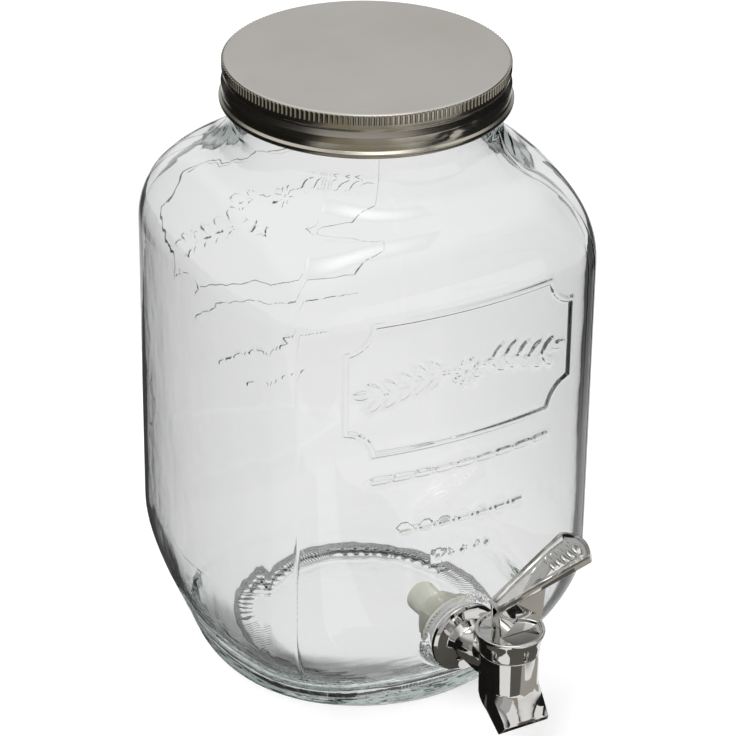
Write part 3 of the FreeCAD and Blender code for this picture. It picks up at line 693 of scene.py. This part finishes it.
def segmentGap(x, z, a, b):
    dx, dz = b[0] - a[0], b[1] - a[1]
    k = np.clip(((x - a[0]) * dx + (z - a[1]) * dz) / (dx * dx + dz * dz), 0, 1)
    return np.hypot(x - a[0] - k * dx, z - a[1] - k * dz)


def ornamentHeight(x, z):
    middle = np.abs(frameDistance(x, z) + cast["band"] / 2)
    heights = [cast["relief"] * (1 - ramp01(middle, *cast["bandEdge"]))]
    veinDepth, veinWidth = cast["vein"]
    for cx, cz, ux, uz, long, wide in leaves:
        u = (x - cx) * ux + (z - cz) * uz
        v = -(x - cx) * uz + (z - cz) * ux
        inside = wide * (1 - (u / long) ** 2) - np.abs(v)
        vein = veinDepth * np.exp(-(v / veinWidth) ** 2) * ramp01(inside, 0.1, 0.8)
        heights.append(cast["leafRelief"] * ramp01(inside, -0.25, 0.6) - vein)
    for path in stems:
        gap = np.min([segmentGap(x, z, a, b) for a, b in zip(path[:-1], path[1:])], axis=0)
        heights.append(cast["stemRelief"] * (1 - ramp01(gap, *cast["stemEdge"])))
    for x0, x1, zc, r in bars:
        gap = segmentGap(x, z, (x0, zc), (x1, zc))
        heights.append(cast["beadRelief"] * (1 - ramp01(gap, 0.45 * r, 1.2 * r)))
    for cx, cz, r in beads:
        gap = np.hypot(x - cx, z - cz)
        heights.append(cast["beadRelief"] * (1 - ramp01(gap, 0.35 * r, 1.2 * r)))
    return np.max(heights, axis=0)


# where the ornament needs a fine mesh: steps across an edge, in shares of a width or in millimetres
fine = {
    "frame": (-0.9, -0.3, 0.2, 0.7, 1.2, 1.7, 2.2, 2.7, 3.3), "frameStep": 0.9, "notchSteps": 18,
    "leaf": (-1.25, -0.9, -0.55, -0.25, 0, 0.25, 0.55, 0.9, 1.25), "leafReach": 1.12, "leafSteps": 13,
    "leafTip": 0.12, "stem": (-1.1, -0.7, -0.35, 0, 0.35, 0.7, 1.1),
    "bar": (-1.35, -1.0, -0.65, -0.3, 0, 0.3, 0.65, 1.0, 1.35), "barReach": 0.4, "barSteps": 9,
    "barEnd": (0.5, 0.85, 1.1, 1.35), "endBend": 1.4,
    "bead": ((0.35, 6), (0.65, 10), (0.95, 14), (1.15, 16), (1.35, 16)),
    "padIn": (0.6, 1.6, 3.2), "padOut": (-3, -1.2, -0.5, -0.15, 0.15, 0.6, 1.3, 2.4, 4),
    "padLeast": 40, "padStep": 1.6,
}


def framePoints():
    points = []
    w, h = cast["frameHalf"]
    for inset in fine["frame"]:
        r = cast["notch"] + inset
        cut = sqrt(max(r * r - inset * inset, 0))
        tilt = asin(inset / r)
        for side in (-1, 1):
            line = [(x, h - inset) for x in np.arange(0, w - cut, fine["frameStep"])]
            line += [(w - inset, z) for z in np.arange(0, h - cut, fine["frameStep"])]
            bends = np.linspace(tilt, pi / 2 - tilt, fine["notchSteps"])
            line += [(w - r * cos(a), h - r * sin(a)) for a in bends]
            points += [(side * x, frameZ + s * z) for x, z in line for s in (-1, 1)]
    return points


def leafPoints(cx, cz, ux, uz, long, wide):
    reach = long * fine["leafReach"]
    points = []
    for u in np.linspace(-reach, reach, fine["leafSteps"]):
        edge = wide * max(fine["leafTip"], 1 - (u / long) ** 2)
        for v in (share * edge for share in fine["leaf"]):
            points.append((cx + u * ux - v * uz, cz + u * uz + v * ux))
    return points


def stemPoints(path):
    points = []
    for k in range(len(path)):
        step = path[min(k + 1, len(path) - 1)] - path[max(k - 1, 0)]
        step = step / np.hypot(*step)
        points += [(path[k][0] - off * step[1], path[k][1] + off * step[0]) for off in fine["stem"]]
    return points


def barPoints(x0, x1, zc, r):
    past = fine["barReach"] * r
    xs = np.linspace(x0 - past, x1 + past, fine["barSteps"])
    points = [(x, zc + off * r) for off in fine["bar"] for x in xs]
    bends = np.linspace(-fine["endBend"], fine["endBend"], fine["barSteps"])
    for end, side in ((x0, -r), (x1, r)):
        for share in fine["barEnd"]:
            points += [(end + side * share * cos(a), zc + share * r * sin(a)) for a in bends]
    return points


def beadPoints(cx, cz, r):
    return [(cx, cz)] + [p for share, count in fine["bead"] for p in circlePoints((cx, cz), share * r, count)]


def ornamentPoints():
    made = [leafPoints(*leaf) for leaf in leaves] + [stemPoints(path) for path in stems]
    made += [barPoints(*bar) for bar in bars] + [beadPoints(*bead) for bead in beads]
    return sum(made, framePoints())


def padPoints(edge):
    points = []
    for r in [jar["hole"] + step for step in fine["padIn"]] + [edge + step for step in fine["padOut"]]:
        count = max(fine["padLeast"], int(fullTurn * r / fine["padStep"]))
        points += circlePoints((0, jar["tapHeight"]), r, count)
    return points


class GlassMesh:
    def __init__(self):
        self.points = []
        self.faces = []

    def add(self, xyz):
        start = len(self.points)
        self.points += [tuple(p) for p in xyz]
        return list(range(start, start + len(xyz)))

    # faces between two rings, except between columns that a panel fills
    def band(self, lower, upper, inwards=False, filled=()):
        count = len(lower)
        for c in range(count):
            d = (c + 1) % count
            if not any({c, d} <= cols for cols in filled):
                face = (lower[c], lower[d], upper[d], upper[c])
                self.faces.append((face[0], *face[:0:-1]) if inwards else face)


glass = GlassMesh()


def wave(x, y, z):
    places = zip(*(axis * scale for axis, scale in zip((x, y, z), jar["waves"])))
    return np.array([noise.noise(Vector(place)) for place in places]) * jar["waviness"]


def pushed(x, y, push, turn):
    return x + push * np.cos(turn), y + push * np.sin(turn)


def ringAt(half, square, z, outer):
    x, y = sectionXY(half, square, turns)
    height = np.full(columns, z)
    if outer:
        away = (np.degrees(turns) % 90 - 45) / jar["seamWidth"]
        push = jar["seam"] * np.exp(-away ** 2) * (z > jar["seamFoot"])
    else:
        push = wave(x, y, height)
    return np.stack([*pushed(x, y, push, turns), height], 1)


# the border of a panel, round its grid points, as (point, reach, length)
def panelBorder(middle, rowIds, lengths, low, high):
    local = (turns - middle + np.pi) % (2 * np.pi) - np.pi
    reach = reachOf(local)
    cols = [int(c) for c in np.argsort(local) if abs(reach[c]) <= jar["panelReach"] + 0.01]
    around = [(low, c) for c in cols] + [(r, cols[-1]) for r in range(low + 1, high)]
    around += [(high, c) for c in reversed(cols)] + [(r, cols[0]) for r in range(high - 1, low, -1)]
    return cols, [(rowIds[r][c], reach[c], lengths[r]) for r, c in around]


# one face of the wall remeshed finely between two rows of the grid
def fillPanel(curve, middle, rowIds, lengths, low, high, wanted, hole, shape, inwards):
    cols, border = panelBorder(middle, rowIds, lengths, low, high)
    flat = [(s, t) for _, s, t in border]
    edges = [(k, (k + 1) % len(border)) for k in range(len(border))]
    s0, s1, t0, t1 = min(s for s, t in flat), max(s for s, t in flat), lengths[low], lengths[high]
    kept = set()
    gap, edge, grid, close = jar["panelGap"], jar["panelEdge"], jar["panelGrid"], jar["panelNear"]

    def cellOf(s, t):
        return int(s / gap), int(t / gap)

    def room(s, t):
        i, j = cellOf(s, t)
        return all((i + a, j + b) not in kept for a in (-1, 0, 1) for b in (-1, 0, 1))

    def toFlat(x, z):
        t = curve.lengthAtHeight(z)
        a, q, _ = curve.at(t)
        turn = asin(max(-1, min(1, x / (a + jar["faceOffset"] * q))))
        return float(reachOf(np.array(turn))), float(t)

    def keep(s, t):
        if s0 + edge < s < s1 - edge and t0 + edge < t < t1 - edge and room(s, t):
            kept.add(cellOf(s, t))
            flat.append((s, t))

    rim = []
    if hole:
        for x, z in circlePoints((0, jar["tapHeight"]), hole, jar["holeSteps"]):
            place = toFlat(x, z)
            kept.add(cellOf(*place))
            rim.append(len(flat))
            flat.append(place)
        edges += list(zip(rim, rim[1:] + rim[:1]))
    for x, z in wanted:
        keep(*toFlat(x, z))
    drawn = np.array(flat)
    first, last = jar["panelStart"]
    for s in np.arange(s0 + first, s1 - last, grid):
        for t in np.arange(t0 + first, t1 - last, grid):
            if np.min((drawn[:, 0] - s) ** 2 + (drawn[:, 1] - t) ** 2) > close:
                keep(s, t)
    verts, _, faces, origin, _, _ = delaunay_2d_cdt([Vector(p) for p in flat], edges, [], 0, 1e-6)
    st = np.array([(v.x, v.y) for v in verts])
    xyz = shape(*curve.at(st[:, 1]), middle + localOf(st[:, 0]))
    ids = [None] * len(verts)
    for k, source in enumerate(origin):
        for o in source:
            if o < len(border):
                ids[k] = border[o][0]
    fresh = [k for k in range(len(verts)) if ids[k] is None]
    for k, i in zip(fresh, glass.add(xyz[fresh])):
        ids[k] = i
    holeIds = {rim.index(o): ids[k] for k, source in enumerate(origin) for o in source if o in rim}

    def inHole(face):
        s, t = st[list(face)].mean(0)
        a, q, z = curve.at(t)
        x = (a + jar["faceOffset"] * q) * sin(float(localOf(np.array(s))))
        return hypot(x, z - jar["tapHeight"]) < hole - 0.02

    for f in faces:
        if not (hole and inHole(f)):
            order = tuple(ids[k] for k in f)
            glass.faces.append(order[::-1] if inwards else order)
    print("panel", len(verts), "points", len(faces), "faces")
    return set(cols), [holeIds[k] for k in sorted(holeIds)]


def frontShape(a, q, z, turn):
    x, y = sectionXY(a, q, turn)
    x, y = pushed(x, y, ornamentHeight(x, z), turn)
    r = np.hypot(x, z - jar["tapHeight"])
    pad = jar["padFace"] - np.maximum(0, r - jar["padRadius"]) / jar["padDraft"]
    soft = jar["padSoft"]
    blend = np.clip(0.5 + 0.5 * (pad + y) / soft, 0, 1)
    y = -(-y * (1 - blend) + pad * blend + soft * blend * (1 - blend) * 0.5)
    y = np.where(r < jar["padRadius"] - jar["padEdge"], -jar["padFace"], y)
    return np.stack([x, y, z], 1)


def backShape(a, q, z, turn):
    x, y = sectionXY(a, q, turn)
    return np.stack([*pushed(x, y, ornamentHeight(-x, z) * cast["backShare"], turn), z], 1)


def innerShape(a, q, z, turn):
    x, y = sectionXY(a, q, turn)
    x, y = pushed(x, y, wave(x, y, z), turn)
    r = np.hypot(x, z - jar["tapHeight"])
    seat = jar["padFace"] - jar["padWall"]
    y = np.where(r < jar["innerPad"] + 0.05, -np.maximum(-y, seat), y)
    y = np.where(r < jar["hole"] + jar["nutSeat"], -seat, y)
    return np.stack([x, y, z], 1)


# neck with its thread, rim and mouth, as (radius, z, has thread)
def neckLine():
    radius, rim = jar["neckRadius"], jar["rim"]
    lines = [(radius, z, False) for z in np.linspace(outerCurve.rows[-1, 2] + 1.3, jar["neckPlain"], 6)]
    lines += [(radius, z, True) for z in np.arange(*jar["threadRows"])]
    arcs = arcPoints((radius - jar["rimRound"], rim - jar["rimRound"]), jar["rimRound"], 0, 90, 7)
    mouth = jar["mouthRadius"]
    arcs += arcPoints((mouth + jar["mouthRound"], rim - jar["mouthRound"]), jar["mouthRound"], 90, 180, 6)
    arcs += [(mouth, z) for z in np.linspace(rim - 3, innerCurve.rows[-1, 2] + 2, 10)]
    return lines + [(r, z, False) for r, z in arcs]


def threadAt(z):
    push = np.zeros(columns)
    for lead in (0, 1, 2):
        centre = jar["threadStart"] + jar["threadPitch"] * (turns / fullTurn + lead - 0.25)
        fade = ramp01(centre, *jar["threadIn"]) * (1 - ramp01(centre, *jar["threadOut"]))
        push = push + jar["threadRelief"] * np.exp(-((z - centre) / jar["threadWidth"]) ** 2) * fade
    return push


def addRows(curve, lengths, outer):
    rowIds = []
    for t in lengths:
        a, q, z = (float(value) for value in curve.at(t))
        rowIds.append(glass.add(ringAt(a, q, z, outer)))
    return rowIds


def rowAt(curve, lengths, height):
    return int(np.argmin(np.abs(lengths - curve.lengthAtHeight(height))))


def addBands(rowIds, low, high, filled, inwards):
    for r in range(len(rowIds) - 1):
        glass.band(rowIds[r], rowIds[r + 1], inwards, filled if low <= r < high else ())


def makeJar():
    front, back = -np.pi / 2, np.pi / 2
    lengths = outerCurve.spread(
        (jar["baseRows"], 12), (jar["panelLow"], 6), (jar["panelHigh"], 70), (None, 36))
    low, high = (rowAt(outerCurve, lengths, jar[key]) for key in ("panelLow", "panelHigh"))
    outIds = addRows(outerCurve, lengths, True)
    grid = (outIds, lengths, low, high)
    wanted = ornamentPoints()
    frontCols, holeOut = fillPanel(
        outerCurve, front, *grid, wanted + padPoints(jar["padRadius"]), jar["hole"], frontShape, False)
    backCols, _ = fillPanel(outerCurve, back, *grid, wanted, 0, backShape, False)
    addBands(outIds, low, high, (frontCols, backCols), False)
    previous = outIds[-1]
    for r, z, threaded in neckLine():
        radius = r + threadAt(z) if threaded else np.full(columns, r)
        ring = glass.add(np.stack([radius * np.cos(turns), radius * np.sin(turns), np.full(columns, z)], 1))
        glass.band(previous, ring)
        previous = ring
    # inside, from the floor up to the mouth
    lengths = innerCurve.spread(
        (jar["innerLow"], 14), (jar["innerHigh"], 22), (jar["innerShoulder"], 28), (None, 34))
    low, high = (rowAt(innerCurve, lengths, jar[key]) for key in ("innerLow", "innerHigh"))
    inIds = addRows(innerCurve, lengths, False)
    grid = (inIds, lengths, low, high)
    innerCols, holeIn = fillPanel(
        innerCurve, front, *grid, padPoints(jar["innerPad"]), jar["hole"], innerShape, True)
    addBands(inIds, low, high, (innerCols,), True)
    glass.band(previous, inIds[-1])
    glass.band(holeOut, holeIn)
    floorRadii = np.linspace(innerCurve.rows[0, 0] - 3, 3, 12)
    closeDisc(inIds[0], [(r, jar["floor"]) for r in floorRadii], True, False)
    base = list(jar["baseLine"])
    for r in np.linspace(36, 3, 10):
        base.append((r, jar["pushUp"] - jar["domeRise"] * (r / jar["domeRadius"]) ** 2))
    closeDisc(outIds[0], base, False, True)
    return addMesh("jarGlass", np.array(glass.points) * mm, glass.faces, clearGlass)


# rings that close the base or the floor; ridges stand on the bearing ring of the base
def closeDisc(border, rings, upwards, ridges):
    angles = turns
    if ridges:
        following = np.append(turns[1:], turns[0] + 2 * np.pi)
        angles = np.stack([turns, (turns + following) / 2], 1).ravel()
    count = len(angles)
    low, high = jar["ridgeBand"]
    faces = []
    previous = border
    for r, z in rings:
        height = np.full(count, float(z))
        if ridges and low < r < high:
            height = height + jar["ridge"] * (np.arange(count) // 2 % 2)
        ring = glass.add(np.stack([r * np.cos(angles), r * np.sin(angles), height], 1))
        share = count // len(previous)
        for c in range(len(previous)):
            inner = [ring[(share * (c + 1) - k) % count] for k in range(share + 1)]
            faces.append((previous[c], previous[(c + 1) % len(previous)], *inner))
        previous = ring
    middle = glass.add([(0, 0, rings[-1][1])])[0]
    faces += [(previous[c], previous[(c + 1) % count], middle) for c in range(count)]
    glass.faces += faces if upwards else [face[::-1] for face in faces]


jarGlass = makeJar()
work = bmesh.new()
work.from_mesh(jarGlass.data)
openEdges = sum(1 for e in work.edges if len(e.link_faces) != 2)
volume = round(work.calc_volume(signed=True) * 1e6, 1)
print("jar", len(work.verts), "points", len(work.faces), "faces", openEdges, "open edges", volume, "cm3")
work.free()
jarGlass.visible_shadow = False  # clear glass lets the light through to the floor and the nut
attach(jarGlass, "jar")
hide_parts("glass_jar")


# screw lid, in millimetres: turned shell with its rolled thread, and the knurl below the top edge
lid = {
    "top": 260.0, "radius": 55.6, "creaseRadius": 55.0, "skirtRadius": 56.3, "curlRadius": 57.2, "sheet": 0.5,
    "foot": 242.6, "crease": 252.8, "creaseRise": 1.2, "bead": 250.6, "beadEnd": 248.0, "curl": 244.8,
    "skirtTuck": 0.3, "curlIn": 1.7, "columns": 288,
    "topRings": (12, 24, 36, 46, 51, 53.5), "innerRings": (20, 8),
    "runOut": -81.0, "runOutWidth": 10.0, "runOutDepth": 0.45, "runOutDrop": 1.6, "runOutRise": 2.3,
    "threadLow": (245.2, 246.4), "threadHigh": (251.8, 252.4),
    "ridges": 180, "ridgeLow": 255.9, "ridgeHigh": 259.5, "ridgeRadius": 0.60, "ridgeSet": 0.10,
    "ridgeSides": 8,
}


# points along (radius, height, round) corners, with an arc at each rounded one
def roundedLine(corners, steps=5):
    line = []
    for k, (r, z, bend) in enumerate(corners):
        here = Vector((r, z))
        if bend == 0 or k in (0, len(corners) - 1):
            line.append((r, z))
            continue
        before = (Vector(corners[k - 1][:2]) - here).normalized()
        after = (Vector(corners[k + 1][:2]) - here).normalized()
        half = before.angle(after) / 2
        centre = here + (before + after).normalized() * (bend / sin(half))
        start = here + before * (bend / tan(half)) - centre
        end = here + after * (bend / tan(half)) - centre
        for step in range(steps + 1):
            way = start.slerp(end, step / steps)
            line.append(tuple(centre + way.normalized() * bend))
    return line


# closed mesh turned about the jar axis from a line that starts and ends on it
def turnedMesh(name, line, count, finish, shape):
    angles = np.linspace(0, 2 * np.pi, count, endpoint=False)
    points = [(0, 0, line[0][1])]
    faces = []
    for r, z in line[1:-1]:
        radius = np.full(count, r) + shape(r, z, angles)
        points += list(zip(radius * np.cos(angles), radius * np.sin(angles), np.full(count, z)))
    points.append((0, 0, line[-1][1]))
    last = len(points) - 1
    for c in range(count):
        d = (c + 1) % count
        faces.append((0, 1 + c, 1 + d))
        for a in range(1, last - count, count):
            b = a + count
            faces.append((a + c, b + c, b + d, a + d))
        a = last - count
        faces.append((a + d, a + c, last))
    return addMesh(name, np.array(points) * mm, faces, finish)


# the thread dips and fades at one place on the skirt
def rolledThread(r, z, angles):
    low, high = lid["threadLow"], lid["threadHigh"]
    if not low[0] < z < high[1] or r < lid["creaseRadius"] - 1.2:
        return 0
    away = (np.degrees(angles) - lid["runOut"] + 180) % 360 - 180
    share = away / lid["runOutWidth"]
    line = lid["bead"] - lid["runOutDrop"] + lid["runOutRise"] * np.clip(share, -1, 1)
    dent = np.exp(-(z - line) ** 2) * np.exp(-np.maximum(0, np.abs(share) - 0.7) ** 2 / 0.09)
    return -lid["runOutDepth"] * dent * ramp01(z, *low) * (1 - ramp01(z, *high))


def makeLidShell():
    s, top, skirt, curl = lid["sheet"], lid["top"], lid["skirtRadius"], lid["curlRadius"]
    foot, upper, tuck = lid["foot"], lid["crease"] + lid["creaseRise"], skirt - lid["skirtTuck"]
    edge = lid["topRings"][-1]
    corners = [
        (edge, top, 0), (lid["radius"], top, 0.9), (lid["radius"], upper, 0.8),
        (lid["creaseRadius"], lid["crease"], 0.4), (skirt, lid["bead"], 0.8), (skirt, lid["beadEnd"], 0.8),
        (tuck, lid["curl"] + 0.6, 0.5), (curl, lid["curl"] - 0.3, 0.4),
        (curl, foot, 0.9), (curl - lid["curlIn"], foot, 0.5),
        (tuck - s, lid["curl"], 0.3), (skirt - s, lid["beadEnd"], 0.6), (skirt - s, lid["bead"], 0.6),
        (lid["creaseRadius"] - s, lid["crease"], 0.4), (lid["radius"] - s, upper, 0.6),
        (lid["radius"] - s, top - s, 0.4), (40, top - s, 0),
    ]
    line = [(r, top) for r in (0, *lid["topRings"])] + roundedLine(corners)[1:]
    line += [(r, top - s) for r in (*lid["innerRings"], 0)]
    return turnedMesh("lidShell", line, lid["columns"], satinSteel, rolledThread)


ridgeInputs = {
    "Ridges": "Int", "Ring Radius": "Float", "Ridge Radius": "Float", "Ridge Height": "Float",
    "Middle": "Float", "Finish": "Material",
}


# a ring of upright ridges, set into the side of the lid
def makeRidgeTree():
    tree = bpy.data.node_groups.new("lidRidges", "GeometryNodeTree")

    def socket(name, way, kind):
        return tree.interface.new_socket(name, in_out=way, socket_type="NodeSocket" + kind).identifier

    socket("Geometry", "INPUT", "Geometry")
    sockets = {name: socket(name, "INPUT", kind) for name, kind in ridgeInputs.items()}
    socket("Geometry", "OUTPUT", "Geometry")
    given = node(tree, "NodeGroupInput")
    ring = node(tree, "GeometryNodeMeshCircle", {"Vertices": given["Ridges"], "Radius": given["Ring Radius"]})
    ridge = node(tree, "GeometryNodeMeshCylinder", {
        "Vertices": lid["ridgeSides"], "Radius": given["Ridge Radius"], "Depth": given["Ridge Height"]})
    grown = node(tree, "GeometryNodeInstanceOnPoints", {"Points": ring["Mesh"], "Instance": ridge["Mesh"]})[0]
    height = node(tree, "ShaderNodeCombineXYZ", {"Z": given["Middle"]})[0]
    grown = node(tree, "GeometryNodeTransform", {"Geometry": grown, "Translation": height})[0]
    grown = node(tree, "GeometryNodeRealizeInstances", {"Geometry": grown})[0]
    grown = node(tree, "GeometryNodeSetMaterial", {"Geometry": grown, "Material": given["Finish"]})[0]
    node(tree, "NodeGroupOutput", {"Geometry": grown})
    return tree, sockets


# the modifier's result as a plain mesh, with the modifier gone
def growNodes(name, tree, sockets, values):
    piece = bpy.data.objects.new(name, bpy.data.meshes.new(name))
    scene.collection.objects.link(piece)
    grow = piece.modifiers.new("grow", "NODES")
    grow.node_group = tree
    for key, value in values.items():
        grow[sockets[key]] = value
    grown = piece.evaluated_get(bpy.context.evaluated_depsgraph_get())
    mesh = bpy.data.meshes.new_from_object(grown)
    piece.modifiers.remove(grow)
    piece.data = mesh
    return piece


lidShell = makeLidShell()
lidKnurl = growNodes("lidKnurl", *makeRidgeTree(), {
    "Ridges": lid["ridges"], "Ring Radius": (lid["radius"] - lid["ridgeSet"]) * mm,
    "Ridge Radius": lid["ridgeRadius"] * mm, "Ridge Height": (lid["ridgeHigh"] - lid["ridgeLow"]) * mm,
    "Middle": (lid["ridgeHigh"] + lid["ridgeLow"]) / 2 * mm, "Finish": satinSteel})
for piece in (lidShell, lidKnurl):
    sharpen(piece, 40)
    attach(piece, "lid")
    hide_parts("lid_shell")
print("lid", len(lidShell.data.polygons), "faces, knurl", len(lidKnurl.data.polygons), "faces")


# the other pieces are smooth copies of the solids, with their finishes
def smoothCopy(nodeName, name, body, slot, finish):
    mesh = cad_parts[nodeName].data.copy()
    piece = bpy.data.objects.new(name, mesh)
    scene.collection.objects.link(piece)
    work = bmesh.new()
    work.from_mesh(mesh)
    bmesh.ops.remove_doubles(work, verts=work.verts, dist=2e-6)
    work.to_mesh(mesh)
    work.free()
    mesh.materials.clear()
    mesh.materials.append(finish)
    sharpen(piece, 32)
    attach(piece, body)
    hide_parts(nodeName)
    return piece


for values in (
    ("lid_liner", "lidLiner", "liner", "liner_rubber", sealingCompound),
    ("outer_washer", "outerWasher", "jar", "washer_silicone", paleSilicone),
    ("inner_washer", "innerWasher", "jar", "washer_silicone", paleSilicone),
    ("lock_nut", "lockNut", "jar", "natural_plastic", milkyPlastic),
    ("tap_body", "tapBody", "jar", "tap_chrome", brightChrome),
    ("tap_bonnet", "tapBonnet", "jar", "tap_chrome", brightChrome),
    ("valve_stem", "valveStem", "stem", "stem_plastic", whiteAcetal),
    ("stem_o_ring", "stemRing", "stem", "seal_rubber", blackNitrile),
    ("valve_plug", "valvePlug", "plug", "washer_silicone", paleSilicone),
    ("tap_lever", "tapLever", "lever", "tap_chrome", brightChrome),
    ("lever_pin", "leverPin", "stem", "spring_steel", drawnWire),
):
    smoothCopy(*values)
# the return spring, a smooth copy given a mesh of its own
returnSpring = smoothCopy("return_spring", "returnSpring", "jar", "spring_steel", drawnWire)
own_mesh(returnSpring)
print("pieces ready")
